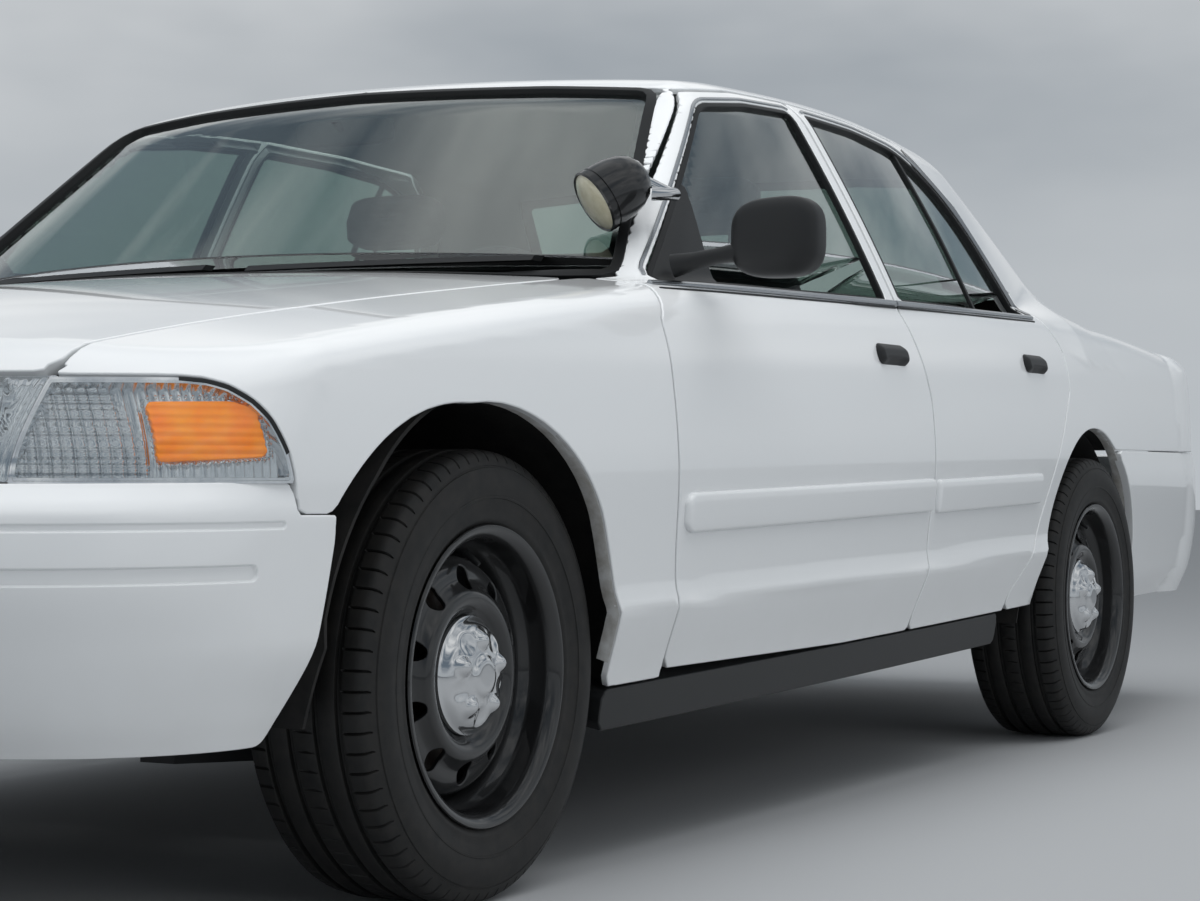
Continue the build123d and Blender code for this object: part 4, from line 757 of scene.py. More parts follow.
def quarter_depth(p):
    ahead = side_depth(p, [(2000, 200), (-653, 200)] + quarter_front + [(-640, 1600), (2000, 1600)])
    bumper = np.minimum(REAR_BUMPER_SEAM - p[:, 2], -1450 - p[:, 0])
    depth = least(-ahead, -arch_depth(p), -bumper, over_sill(p), -lid_depth(p) - SHUT / 2,
                  -tail_lamp_depth(p), -rear_screen_depth(p) - SCREEN_EDGE)
    return np.minimum(depth - ROLL, quarter_seam(p))


SCREEN_EDGE = 2.0
# The rear window's opening, seen along the car
REAR_SCREEN = [(-700, 1075), (700, 1075), (575, 1385), (380, 1402), (0, 1412), (-380, 1402), (-575, 1385)]


def rear_screen_depth(p):
    return np.minimum(front_depth(p, REAR_SCREEN), -700 - p[:, 0])


def seam_is_flush(p):
    """Marks the welded seam below the roof and the seam of the two halves."""
    return (np.abs(p[:, 2] - QUARTER_SEAM_Z) < 2.0) | (np.abs(p[:, 1]) < 1.0)


quarter = triangulated(cross_sections(-2510, -640, -32, 90, step=18.0, pitch=13.0))
quarter = pressed_panel(trimmed(quarter, quarter_depth), PANEL, flush=seam_is_flush)
deck = triangulated(long_sections(-720, 720, (-2000, 560), 20, 186, 20.0, 18.0), flip=True)
piece("rear_quarters", both(quarter), white_enamel, "body", "white_paint", "rear_quarters")
lid = pressed_panel(trimmed(deck, lambda p: lid_depth(p) - SHUT / 2 - ROLL), 22.0)
piece("trunk_lid", lid, white_enamel, "trunk_lid_body", "white_paint", "trunk_lid")

# Roof and pillars. The roof pressing rolls into the screen pillars at the front
# and runs down to the quarters at the back.
door_openings = [grown(outline, SHUT) for outline in (front_door_outline, rear_door_outline)]
OPENING_LAP = 2.0
# What the wings and the cowl cover ahead of the pillar's foot
WING_COVER = [(980, 900), (1012, 1003), (960, 1030), (3000, 1030), (3000, 900)]


def roof_depth(p):
    beside = np.abs(p[:, 1]) - 400
    doors = [OPENING_LAP - np.minimum(side_depth(p, outline), beside) for outline in door_openings]
    depth = least(-windscreen_depth(p), -rear_screen_depth(p) - SCREEN_EDGE, *doors,
                  -side_depth(p, WING_COVER))
    return np.minimum(depth - ROLL, -quarter_seam(p) + np.where(p[:, 0] > -600, FAR, 0))


roof = triangulated(cross_sections(-1700, 1060, 10, 90, step=14.0, pitch=10.0, centre_z=900.0))
roof = pressed_panel(trimmed(roof, roof_depth), PANEL, flush=seam_is_flush)
piece("roof_and_pillars", both(roof), white_enamel, "body", "white_paint", "roof_and_pillars")

# Front bumper. One moulded cover, painted like the body, wrapped round the nose from wheel
# opening to wheel opening, with a thin crease, a round-ended recess below it and an air slot.
FRONT_BUMPER = np.array([
    # z, then the same plan sizes as the body's side levels
    (285, 925, 866, 850, 2600, 2440, -2400, -2300), (335, 942, 888, 860, 2636, 2478, -2400, -2300),
    (430, 974, 918, 880, 2672, 2520, -2400, -2300), (520, 977, 920, 885, 2692.5, 2545, -2400, -2300),
    (598, 979, 921, 885, 2686, 2536, -2400, -2300), (638, 976, 915, 880, 2652, 2498, -2400, -2300)], float)
REAR_BUMPER = np.array([
    (318, 925, 870, 838, 2400, 2300, -2610, -2490), (400, 965, 900, 878, 2400, 2300, -2660, -2548),
    (520, 975, 900, 896, 2400, 2300, -2692.5, -2582), (640, 981, 900, 902, 2400, 2300, -2690, -2578),
    (708, 980, 900, 898, 2400, 2300, -2662, -2550)], float)
CREASE, RECESS = (2178.0, 584.0, 4.5, 3.2), (2236.0, 522.0, 10.5, 5.0)
BUMPER_WALL = 20.0


def spaced(points, step, closed=False):
    """Points set evenly along a line."""
    line = np.array(points, float)
    if closed:
        line = np.concatenate([line, line[:1]])
    run = np.concatenate([[0], np.cumsum(np.linalg.norm(np.diff(line, axis=0), axis=1))])
    at = np.linspace(0, run[-1], max(2, int(run[-1] / step)) + 1)
    if closed:
        at = at[:-1]
    return np.stack([np.interp(at, run, line[:, i]) for i in range(line.shape[1])], -1)


def sweep(path, profile, up, closed=False, scale=None):
    """A closed profile of (across, up) points, anticlockwise seen from ahead, carried along a path."""
    path, profile = np.array(path, float), np.array(profile, float)
    ahead = np.roll(path, -1, 0) - np.roll(path, 1, 0)
    if not closed:
        ahead[0], ahead[-1] = path[1] - path[0], path[-1] - path[-2]
    ahead /= np.linalg.norm(ahead, axis=1)[:, None]
    across = np.cross(np.array(up, float) * np.ones_like(path), ahead)
    across /= np.linalg.norm(across, axis=1)[:, None]
    up = np.cross(ahead, across)
    sizes = np.ones((len(path), 2)) if scale is None else np.array(scale, float)
    rings = (path[:, None] + across[:, None] * (profile[None, :, :1] * sizes[:, None, :1])
             + up[:, None] * (profile[None, :, 1:] * sizes[:, None, 1:]))
    n, m = rings.shape[:2]
    a, b = numbered(rings), np.roll(numbered(rings), -1, 1)
    if closed:
        triangles = [paired(a, b, np.roll(b, -1, 0), np.roll(a, -1, 0))]
    else:
        triangles = [paired(a[:-1], b[:-1], b[1:], a[1:])]
        fan = np.stack([np.zeros(m - 2, int), np.arange(1, m - 1), np.arange(2, m)], 1)
        triangles += [fan[:, ::-1], fan + (n - 1) * m]
    return rings.reshape(-1, 3), np.concatenate(triangles)


def strip_profile(width, height, radius, base=3.0, crown=0.0):
    """Section of a strip that lies on a surface, its top edges rounded and its foot sunk by base."""
    turn = np.radians(np.linspace(0, 90, 5))
    right = np.stack([width / 2 - radius + radius * np.cos(turn), height - radius + radius * np.sin(turn)], 1)
    top = [(width / 4, height + crown * 0.75), (0, height + crown), (-width / 4, height + crown * 0.75)]
    left = np.stack([-right[::-1, 0], right[::-1, 1]], 1)
    return np.concatenate([[(width / 2, -base)], right, top if crown else [(0, height)], left,
                           [(-width / 2, -base)]])


def circle(radius, count=14):
    turn = np.linspace(0, 2 * np.pi, count, endpoint=False)
    return np.stack([radius * np.cos(turn), radius * np.sin(turn)], 1)


def on_side(points, offset=0.0, gap=shell_gap):
    """Points of the left side over (x, z) points."""
    flat = np.array(points, float)
    origin = np.stack([flat[:, 0], 0 * flat[:, 0], flat[:, 1]], -1)
    return cast(origin, np.broadcast_to((0.0, 1.0, 0.0), origin.shape), (150.0, 1300.0), gap, offset)


def slot_depth(x, z, x_end, z_mid, half, depth):
    """Depth of a long groove with a round end at x_end and soft edges."""
    inside = half - np.hypot(np.maximum(x_end + half - x, 0), z - z_mid)
    t = np.clip(inside / 3.2 + 0.5, 0, 1)
    return depth * t * t * (3 - 2 * t)


def front_bumper_gap(p):
    x, y, z = p[..., 0], p[..., 1], p[..., 2]
    form = plan_gap(x, y, [smooth(FRONT_BUMPER[:, 0], column, z) for column in FRONT_BUMPER.T[1:]])
    return form + slot_depth(x, z, *CREASE) + slot_depth(x, z, *RECESS)


def rear_bumper_gap(p):
    x, y, z = p[..., 0], p[..., 1], p[..., 2]
    return plan_gap(x, y, [smooth(REAR_BUMPER[:, 0], column, z) for column in REAR_BUMPER.T[1:]])


front_keep = rounded([(2066, 596), (2069, 560), (2100, 430), (2129, 347), (2158, 284), (4000, 284),
                      (4000, 642), (2154, 642), (2150, 597)], (1, 60, 200, 200, 34, 0, 0, 1, 7))
air_slot = rounded([(-430, 345), (430, 345), (430, 405), (-430, 405)], 18)
recess_steps = np.array([4, 7, 8.5, 9.5, 10.5, 11.5, 12.5, 14, 16])
crease_steps = np.array([1, 2.5, 3.5, 4.5, 5.5, 6.5, 8])
levels = np.unique(np.concatenate([
    np.linspace(281, 645, 30), [RECESS[1]], RECESS[1] - recess_steps, RECESS[1] + recess_steps,
    CREASE[1] - crease_steps, CREASE[1] + crease_steps]))
ends = on_side([(x, RECESS[1]) for x in [*range(2230, 2262, 3), *range(2172, 2196, 3)]], gap=front_bumper_gap)
marks = np.degrees(np.arctan2(ends[:, 1], ends[:, 0] - 1900))
cover = triangulated(level_sections((1900, 0), -102, 102, levels, 18, front_bumper_gap, [*marks, *-marks]))
cover = trimmed(cover, lambda p: np.minimum(side_depth(p, front_keep), -front_depth(p, air_slot)) - ROLL)
piece("front_bumper", pressed_panel(cover, BUMPER_WALL, gap=front_bumper_gap), white_enamel, "body",
      "white_bumper", "front_bumper")

# Rear bumper. The same kind of cover round the tail, cut round by the rear wheel openings.
rear_keep = [(-1400, 709), (-1500, 318), (-4000, 318), (-4000, 709)]
cover = triangulated(level_sections((-1900, 0), 62, 298, np.linspace(314, 714, 28), 20, rear_bumper_gap))
cover = trimmed(cover, lambda p: np.minimum(side_depth(p, rear_keep), -arch_depth(p)) - ROLL)
piece("rear_bumper", pressed_panel(cover, BUMPER_WALL, gap=rear_bumper_gap), white_enamel, "body",
      "white_bumper", "rear_bumper")

# Sills. Satin black mouldings clipped along the bottom of the body between the wheels.
grained_black = grained("grained_black_plastic", "#1b1c1d", 0.46, 900.0, 0.25, 0.0003)


def sill_gap(p):
    return shell_gap(p) + 4.0


sill = triangulated(cross_sections(-655, 1278, -28, -19, 24, 9, gap=sill_gap))
sill = trimmed(sill, lambda p: least(over_sill(p, 252), -over_sill(p, 322), p[:, 0] + 640,
                                     1262 - p[:, 0]) - ROLL)
piece("rocker_sills", both(pressed_panel(sill, 60.0, gap=sill_gap)), grained_black, "body", "black_plastic",
      "rocker_sills")

# Side mouldings. Body-coloured bump strips on the doors, pillow-shaped, the front one
# with a round nose.
for end, x_front, x_rear, z_front, height, nose in (("front", 1065.0, -63.0, 585.5, 69.0, 30.0),
                                                    ("rear", -97.0, -792.0, 604.0, 70.0, 6.0)):
    length = x_front - x_rear
    run = np.concatenate([[0, 0.4, 1.5, 4, 8, 13, 19, 25, 32], np.arange(50, length, 22), [length - 2]])
    line = on_side(np.stack([x_front - run, z_front + RISE * run], 1))
    share = np.clip(run / nose, 0.002, 1)
    lift = np.clip(run / 8.0, 0.01, 1)
    scale = np.stack([0.35 + 0.65 * np.sqrt(1 - (1 - share) ** 2), np.sqrt(1 - (1 - lift) ** 2)], 1)
    strip = sweep(line, strip_profile(height, 10.0, 7.0, 2.0, 1.5), shell_normals(line), scale=scale)
    pair(f"{end}_side_moulding_SIDE", strip, white_enamel, f"{end}_door_SIDE_body", "white_paint", sharp=60.0)

# Side windows. Tempered glass, green in its thickness, set 12 mm in from the frames, with black
# rubber runs round each pane and a bright anodised trim along the pillar, roof and belt.
GLASS_SET = 12.0
GLASS = 4.0
tinted_glass = surface("green_tempered_glass", Base_Color=linear("#c3d6cd"), Roughness=0.0, IOR=1.52,
                       Transmission_Weight=1.0, Coat_Weight=1.0, Coat_IOR=1.9, Coat_Roughness=0.0)[0]
black_rubber = surface("black_rubber", Base_Color=linear("#101112"), Roughness=0.5)[0]
satin_trim, tree, shader = surface("anodised_trim", Base_Color=linear("#b9bcbf"), Metallic=1.0,
                                   Roughness=0.24)
brushed = add(tree, "ShaderNodeTexNoise", {"Vector": position(tree), "Scale": 700.0, "Detail": 2.0})
relief(tree, shader, brushed.outputs["Fac"], 0.08, 0.0002)


def pane_gap(p):
    return house_gap(p[..., 0], p[..., 1], p[..., 2]) + GLASS_SET


def part_of(outline, keep):
    """The one run of an outline's points that keep marks, in order."""
    line = np.array(outline, float)
    marked = np.array([keep(x, z) for x, z in line])
    first = int(np.argmax(marked & ~np.roll(marked, 1)))
    line, marked = np.roll(line, -first, 0), np.roll(marked, -first)
    return line[:int(np.argmin(marked))] if not marked.all() else line


def trim(line, profile, closed=False, step=14.0, offset=0.0, gap=shell_gap):
    """A strip laid along (x, z) points on the left side."""
    path = on_side(spaced(line, step, closed), offset, gap)
    return sweep(path, profile, shell_normals(path, gap), closed)


DIVIDER = [(-566, 1014), (-569, 1200), (-560, 1394)]
panes = {"front": WINDOW_FRONT, "rear": WINDOW_REAR}
for end, outline in panes.items():
    x_from, x_to = min(x for x, z in outline) - 20, max(x for x, z in outline) + 20
    shell = triangulated(cross_sections(x_from, x_to, 18, 60, 18, 16, gap=pane_gap))
    pane = trimmed(shell, lambda p: side_depth(p, outline) + 3.0)
    pane = pressed_panel(pane, GLASS, 0.5, gap=pane_gap)
    rubber = trim(grown(outline, -3.5), strip_profile(11.0, -1.5, 1.5, 15.0), closed=True)
    bright = grown(outline, 7.0)
    if end == "rear":
        rubber = joined(rubber, trim(DIVIDER, strip_profile(15.0, -5.0, 1.5, 13.0)))
        bright = part_of(bright, lambda x, z: z > 1060 and x > -700 and not (-60 < x < -20 and z < 1405))
    else:
        bright = part_of(bright, lambda x, z: z > 1000 and not (x < 60 and z < 1412))
    bright = trim(bright, strip_profile(8.0, 3.0, 1.5, 2.0))
    body = f"{end}_door_SIDE_body"
    pair(f"{end}_door_glass_SIDE", pane, tinted_glass, body, "tinted_glass", f"{end}_door_glass_SIDE")
    pair(f"{end}_window_rubber_SIDE", rubber, black_rubber, body, "black_plastic")
    pair(f"{end}_window_trim_SIDE", bright, satin_trim, body, "white_paint")

for end, x_front, x_rear in (("front", 1012.0, -1.0), ("rear", -9.0, -946.0)):
    line = [(x, 981.0 + 0.0201 * (1039 - x)) for x in np.linspace(x_front, x_rear, 40)]
    metal = trim(line, strip_profile(13.0, 5.0, 3.5, 2.0, 0.8))
    under = trim([(x, z - 8.6) for x, z in line], strip_profile(4.0, 1.6, 1.0, 2.0))
    pair(f"{end}_belt_moulding_SIDE", metal, satin_trim, f"{end}_door_SIDE_body", "white_paint")
    pair(f"{end}_belt_rubber_SIDE", under, black_rubber, f"{end}_door_SIDE_body", "black_plastic")

# Black blade at the back of the rear door, between the quarter light and the roof pillar.
shell = triangulated(cross_sections(-1010, -600, 18, 58, 12, 10))
blade_outline = rounded(grown(rear_door_outline, -7.0), 6)
blade = trimmed(shell, lambda p: least(side_depth(p, blade_outline), -side_depth(p, grown(WINDOW_REAR, 1.0)),
                                       -p[:, 0] - 640, p[:, 2] - 1030))
points, normals = blade[0], shell_normals(blade[0])
blade = pressed_panel((points + normals * 1.6, blade[1]), 2.6, 0.8)
gloss_black = surface("gloss_black_plastic", Base_Color=linear("#0b0b0c"), Roughness=0.16, Coat_Weight=0.4)[0]
pair("rear_door_blade_SIDE", blade, gloss_black, "rear_door_SIDE_body", "black_plastic")

# Windscreen and rear window. Laminated and tempered screens bonded in, each with a black
# painted border and a black moulding that covers the edge of the opening.
SCREEN_FOOT_Z = 1009
screen = triangulated(long_sections(-820, 820, (300, 900), 4, 80, 32, 28, gap=pane_gap), flip=True)
windscreen = trimmed(screen, lambda p: np.minimum(windscreen_depth(p) + 3.0, p[:, 2] - SCREEN_FOOT_Z))
rear = triangulated(long_sections(-740, 740, (-900, 900), 100, 172, 32, 28, gap=pane_gap), flip=True)
rear_screen = trimmed(rear, lambda p: rear_screen_depth(p) + 3.0)
screens = [pressed_panel(part, GLASS, 0.5, gap=pane_gap) for part in (windscreen, rear_screen)]
piece("screens", joined(*screens), tinted_glass, "body", "tinted_glass", "fixed_glass")
FRIT_SET = GLASS + 0.6


def frit_gap(p):
    return pane_gap(p) + FRIT_SET


def windscreen_edge(p):
    return np.minimum(windscreen_depth(p), p[:, 2] - SCREEN_FOOT_Z)


borders = []
for shell, depth, border in ((windscreen, windscreen_edge, 34.0), (rear_screen, rear_screen_depth, 26.0)):
    points = shell[0] - shell_normals(shell[0], pane_gap) * FRIT_SET
    band = trimmed((points, shell[1]), lambda p: border - depth(p))
    borders.append(pressed_panel(band, 1.0, 0.1, gap=frit_gap))
frit = surface("ceramic_border", Base_Color=linear("#08090a"), Roughness=0.4)[0]
piece("screen_borders", joined(*borders), frit, "body", "black_plastic")


def on_screen(points, sign, offset=0.0, gap=shell_gap):
    """Points of the windscreen (sign 1) or rear window (sign -1) over (y, z) points."""
    flat = np.array(points, float)
    origin = np.stack([0 * flat[:, 0] + (100.0 if sign > 0 else -500.0), flat[:, 0], flat[:, 1]], -1)
    return cast(origin, np.broadcast_to((float(sign), 0.0, 0.0), origin.shape), (60.0, 1500.0), gap, offset)


mouldings = []
for outline, sign, width in ((WINDSCREEN, 1, 20.0), (REAR_SCREEN, -1, 15.0)):
    line = rounded(grown(outline, -width / 2 + 5.0), (14, 14, 60, 300, 400, 300, 60))
    path = on_screen(spaced(line, 20.0, True), sign)
    mouldings.append(sweep(path, strip_profile(width, 1.6, 1.5, 14.0), shell_normals(path), True))
piece("screen_mouldings", joined(*mouldings), black_rubber, "body", "black_plastic")

# Tyres. Road tyres with four tread grooves, sipes cut across the shoulders and ribbed sidewalls.
AXLES = {"front": (1627.5, 805.0), "rear": (-1285.5, 833.0)}
TYRE_RADIUS = 345.0
TYRE_SIPES = 72
tyre_rubber = mottled("tyre_rubber", "#0f1010", "#211f1d", 40.0, 0.62, 0.05)


def turned(profile, count=96, closed=True, shift=None):
    """A profile of (radius, y) points turned about an axis across the car, in count even steps
    or at the turns that count lists. shift(radius, y, turn) may move the radius."""
    profile = np.array(profile, float)
    turn = np.linspace(0, 2 * np.pi, count, endpoint=False)[:, None] if np.isscalar(count) else count[:, None]
    radius, y = profile[None, :, 0] + 0 * turn, profile[None, :, 1] + 0 * turn
    if shift is not None:
        radius = radius + shift(radius, y, turn + 0 * radius)
    grid = np.stack([radius * np.sin(turn), y, radius * np.cos(turn)], -1)
    a, b = numbered(grid), np.roll(numbered(grid), -1, 1)
    c, d = np.roll(b, -1, 0), np.roll(a, -1, 0)
    if not closed:
        a, b, c, d = a[:, :-1], b[:, :-1], c[:, :-1], d[:, :-1]
    return grid.reshape(-1, 3), paired(a, b, c, d)


def moved(part, x=0.0, y=0.0, z=0.0):
    return (part[0] + np.array([x, y, z]),) + tuple(part[1:])


def groove_profile():
    """Tread points from the middle out, with two square grooves on each side."""
    points = [(345.0, 0.0)]
    for centre in (23.0, 62.0):
        points += [(345.0, centre - 6.0), (344.4, centre - 5.2), (337.6, centre - 4.2), (337.0, centre - 3.0),
                   (337.0, centre + 3.0), (337.6, centre + 4.2), (344.4, centre + 5.2), (345.0, centre + 6.0)]
    return points


half = groove_profile() + [
    (344.9, 72), (344.2, 80), (343.0, 88), (341.2, 94), (338.5, 98.5), (335, 101.6), (331, 104.2),
    (326, 107.2), (320, 110.0), (319.2, 109.2), (317.2, 109.6), (316.4, 111.6), (308, 114.6), (299, 116.4),
    (290, 117.0), (282, 116.6), (274, 115.4), (273.2, 116.2), (270.4, 116.0), (269.6, 114.4), (262, 112.6),
    (254, 110.6), (247, 108.8), (243, 109.4), (239, 108.6), (236, 106.6), (233, 104.6), (226, 99.6),
    (217.5, 97.5)]
inner_half = groove_profile() + half[17:-1:3] + half[-1:]
tyre_profile = [(r, -w) for r, w in inner_half[:0:-1]] + half


def tread_cuts(radius, y, turn):
    """Sipes run across the shoulders and, finer, over the ribs."""
    share = (turn * TYRE_SIPES / (2 * np.pi) + 0.01) % 1.0
    side = np.abs(y)
    shoulder = (share < 0.03) & (side > 68.5) & (side < 104.5)
    rib = (share < 0.03) & (((side > 30) & (side < 55)) | (side < 16)) & (radius > 344)
    return -6.0 * shoulder - 4.0 * rib


sipe_steps = np.array([0.0, 0.08, 0.5, 0.92])
tyre_turns = (np.arange(TYRE_SIPES)[:, None] + sipe_steps).ravel() * 2 * np.pi / TYRE_SIPES
tyre = turned(tyre_profile, tyre_turns, True, tread_cuts)

# Wheels. Pressed steel discs welded into rolled rims and painted gloss black, with ten round
# holes and a chrome-plated cap that snaps over the wheel nuts; the brake disc stands behind.
gloss_paint, tree, shader = surface("gloss_black_paint", Base_Color=linear("#060607"), Roughness=0.5,
                                    Coat_Weight=1.0, Coat_Roughness=0.03)
peel = add(tree, "ShaderNodeTexNoise", {"Vector": position(tree), "Scale": 260.0, "Detail": 2.0})
relief(tree, shader, peel.outputs["Fac"], 0.04, 0.0004)
chrome, tree, shader = surface("chrome_plate", Base_Color=linear("#d9dadb"), Metallic=1.0, Roughness=0.05)
film = add(tree, "ShaderNodeTexNoise", {"Vector": position(tree), "Scale": 30.0, "Detail": 5.0})
film = add(tree, "ShaderNodeMapRange", {"Value": film.outputs["Fac"], "From Min": 0.4, "From Max": 0.7,
                                       "To Min": 0.04, "To Max": 0.14})
tree.links.new(film.outputs["Result"], shader.inputs["Roughness"])
cast_iron = mottled("machined_iron", "#6d6a67", "#4a3a30", 60.0, 0.4, 0.1, Metallic=0.9)

HOLES, HOLE_CIRCLE, HOLE_RADIUS = 10, 150.0, 15.5
DISC = np.array([(64, 63), (92, 64), (100, 70), (110, 79), (118, 81), (127, 79), (136, 70), (146, 62),
                 (160, 59), (170, 55), (180, 44), (187, 28), (190, 18)], float)


def disc_gap(p):
    radius = np.hypot(p[..., 0], p[..., 2])
    return (p[..., 1] - smooth(DISC[:, 0], DISC[:, 1], radius)) * 0.8


def hole_depth(p):
    radius, turn = np.hypot(p[:, 0], p[:, 2]), np.arctan2(p[:, 0], p[:, 2])
    pitch = 2 * np.pi / HOLES
    turn = (turn + pitch / 2) % pitch - pitch / 2
    hole = np.hypot((radius * np.cos(turn) - HOLE_CIRCLE) / 1.12, radius * np.sin(turn)) - HOLE_RADIUS
    return hole - 2.5


rows = np.concatenate([np.linspace(64, 132, 10), np.linspace(135, 166, 8), np.linspace(171, 190, 5)])
disc = turned(np.stack([rows, smooth(DISC[:, 0], DISC[:, 1], rows)], 1), 150, False)
disc = pressed_panel(trimmed(disc, hole_depth), 7.0, 2.5, gap=disc_gap)
barrel = turned([(229, -110), (230.5, -107.5), (229, -105), (222, -103), (216.5, -97), (214.5, -86), (214, -70),
                 (207, -58), (197, -46), (194, -40), (194, 20), (196, 28), (207, 48), (213, 60), (214.5, 74),
                 (215, 90), (217, 97), (222, 103), (228, 105), (230.5, 107.5), (229, 110), (224.5, 110.3),
                 (219, 107.5), (213, 102), (209.5, 95), (208, 86), (207, 66), (204.5, 58), (199, 50),
                 (193.5, 40), (190.5, 30), (187, 22), (187, -42), (196, -56), (207, -72), (208, -90),
                 (212, -99), (221, -108)], 108)
barrel = barrel[0], barrel[1][:, ::-1]
rotor = outward(turned([(32, 55), (78, 55), (86, 50), (90, 12), (150, 12), (150, -10), (84, -10), (76, 44),
                        (32, 46)]))

CAP = np.array([(0, 105), (20, 105), (27, 103.6), (33, 99.4), (40, 97.5), (56, 95.5), (70, 91.0), (78, 86),
                (84, 79), (88, 74), (91, 72)], float)
rows = np.concatenate([np.linspace(0.5, 30, 7), np.linspace(32, 84, 22), np.linspace(86, 91, 3)])
turn = np.linspace(0, 2 * np.pi, 140, endpoint=False)[:, None]
rise = smooth(CAP[:, 0], CAP[:, 1], rows)[None] + 0 * turn
pitch = 2 * np.pi / 5
lobe = (turn + pitch / 2) % pitch - pitch / 2
reach = np.hypot(rows[None] * np.cos(lobe) - 56.0, rows[None] * np.sin(lobe) * 1.12)
rise += 11.0 * np.clip(1 - (reach / 19.0) ** 2, 0, 1) ** 1.3
between = (lobe + pitch) % pitch - pitch / 2
web = np.hypot(rows[None] * np.cos(between) - 62.0, rows[None] * np.sin(between))
rise -= 5.0 * np.clip(1 - (web / 20.0) ** 2, 0, 1) ** 1.5
rise = np.minimum(rise, 108.0)
cap = np.stack([rows[None] * np.sin(turn), rise, rows[None] * np.cos(turn)], -1)
CAP_BACK = 66.0
closing = np.stack([CAP[-1, 0] * np.sin(turn), CAP_BACK + 0 * turn, CAP[-1, 0] * np.cos(turn)], -1)
back = np.stack([0 * turn, CAP_BACK + 0 * turn, 0 * turn], -1)
front_point = np.stack([0 * turn, CAP[0, 1] + 0 * turn, 0 * turn], -1)
cap = np.concatenate([front_point, cap, closing, back], axis=1)
a, b = numbered(cap)[:, :-1], numbered(cap)[:, 1:]
cap = outward((cap.reshape(-1, 3), paired(a, b, np.roll(b, -1, 0), np.roll(a, -1, 0))))
valve = sweep([(0, 66, 186), (0, 74, 181), (0, 86, 172), (0, 90, 169)], circle(4.2, 12), (1, 0, 0),
              scale=[(1.4, 1.4), (1.2, 1.2), (1, 1), (0.8, 0.8)])
for end, (x, y) in AXLES.items():
    for name, part, material, slot, nodes in (
            ("tyre", tyre, tyre_rubber, "tyre_rubber", [f"{end}_tyre_SIDE"]),
            ("wheel", disc, gloss_paint, "wheel_black", [f"{end}_wheel_SIDE"]),
            ("wheel_rim", barrel, gloss_paint, "wheel_black", []),
            ("brake_disc", rotor, cast_iron, "cast_steel", []),
            ("hub_cap", cap, chrome, "wheel_black", []),
            ("tyre_valve", valve, black_rubber, "tyre_rubber", [])):
        part = moved(part, x, y, TYRE_RADIUS)
        pair(f"{end}_{name}_SIDE", part, material, f"{end}_wheel_SIDE_body", slot, *nodes)

# Corner lamps. A clear moulded lens over a fluted silver reflector, with an amber block
# for the turn signal and a black gasket where the lamp meets the wing.
LAMP_Z, LAMP_TOP, LAMP_SEAM_Y = 643.5, 779.0, 698.0
clear_lens = surface("clear_polycarbonate", Base_Color=linear("#f4f6f6"), Roughness=0.0, IOR=1.45,
                     Transmission_Weight=1.0)[0]
silvered = mottled("silvered_reflector", "#eceef0", "#dde0e3", 90.0, 0.1, 0.03, Metallic=1.0)
# The amber's faint emission is a painted glow that brightens the unlit turn signal block.
amber_painted_glow_plastic = mottled("amber_painted_glow_plastic", "#ff8000", "#ffa426", 25.0, 0.2, 0.02, Coat_Weight=0.3,
                        Emission_Color=linear("#ff8400"), Emission_Strength=0.22)
lamp_outline = LAMP_REAR_EDGE + [(2800, 598)]
AMBER = rounded([(2334, 746), (2236, 748), (2208, 735), (2200, 676), (2348, 667)], (10, 8, 12, 6, 6), 4.0)


def set_in(depth):
    """The painted form, moved inward by a depth."""
    return lambda p: shell_gap(p) + depth


def lamp_depth(p):
    return least(side_depth(p, lamp_outline) - 7.5, p[:, 1] - LAMP_SEAM_Y, p[:, 2] - LAMP_Z)


def flutes(p, pitch):
    return np.abs(np.sin(np.arctan2(p[..., 1], p[..., 0] - 1900) * 560 * np.pi / pitch))


def corner_reflector(p):
    inboard = np.clip((p[..., 0] - 2345) / 12, 0, 1)
    rungs = np.abs(np.sin(p[..., 2] * np.pi / 7.0))
    return shell_gap(p) + 22.0 - 5.5 * flutes(p, 9.0) - 3.0 * rungs * inboard


def lamp_sheet(low, high, pitch, levels, gap):
    heights = np.linspace(LAMP_Z - 4, LAMP_TOP + 5, levels)
    return triangulated(level_sections((1900, 0), low, high, heights, pitch, gap))


lens = trimmed(lamp_sheet(44, 80, 7.0, 26, set_in(1.0)), lamp_depth)
reflector = trimmed(lamp_sheet(44, 80, 2.1, 36, corner_reflector), lambda p: lamp_depth(p) + 1.0)
side_wall = trimmed(lamp_sheet(44, 80, 7.0, 26, set_in(1.5)), lambda p: lamp_depth(p) + 4.0)
side_wall = trimmed(side_wall, lambda p: 3.5 - lamp_depth(p))


def amber_gap(p):
    return shell_gap(p) + 9.0 - 2.0 * np.abs(np.sin(p[..., 2] * np.pi / 11.5))


amber = trimmed(lamp_sheet(44, 80, 6.0, 52, amber_gap), lambda p: side_depth(p, AMBER) - 1.0)
amber_rim = on_side(spaced(grown(AMBER, 4.0), 7.5, True), -7.0)
bosses = joined(*[sweep([at, at + up * 4.0], circle(2.6, 6), (0, 0, 1))
                  for at, up in zip(amber_rim, shell_normals(amber_rim))])
edge = part_of(grown(rounded(lamp_outline, 12), -4.2), lambda x, z: x < 2480 and z > LAMP_Z)
gasket = trim(edge, strip_profile(8.0, -0.6, 1.5, 14.0), step=8.0)
foot = on_side([(x, LAMP_Z - 1.0) for x in np.linspace(2160, 2460, 30)])
foot = sweep(foot, strip_profile(4.0, -2.0, 1.0, 14.0), shell_normals(foot))
seam = cast(np.array([[1900.0, LAMP_SEAM_Y - 1.5, z] for z in np.linspace(LAMP_Z, 778, 12)]),
            np.broadcast_to((1.0, 0.0, 0.0), (12, 3)), (150.0, 900.0))
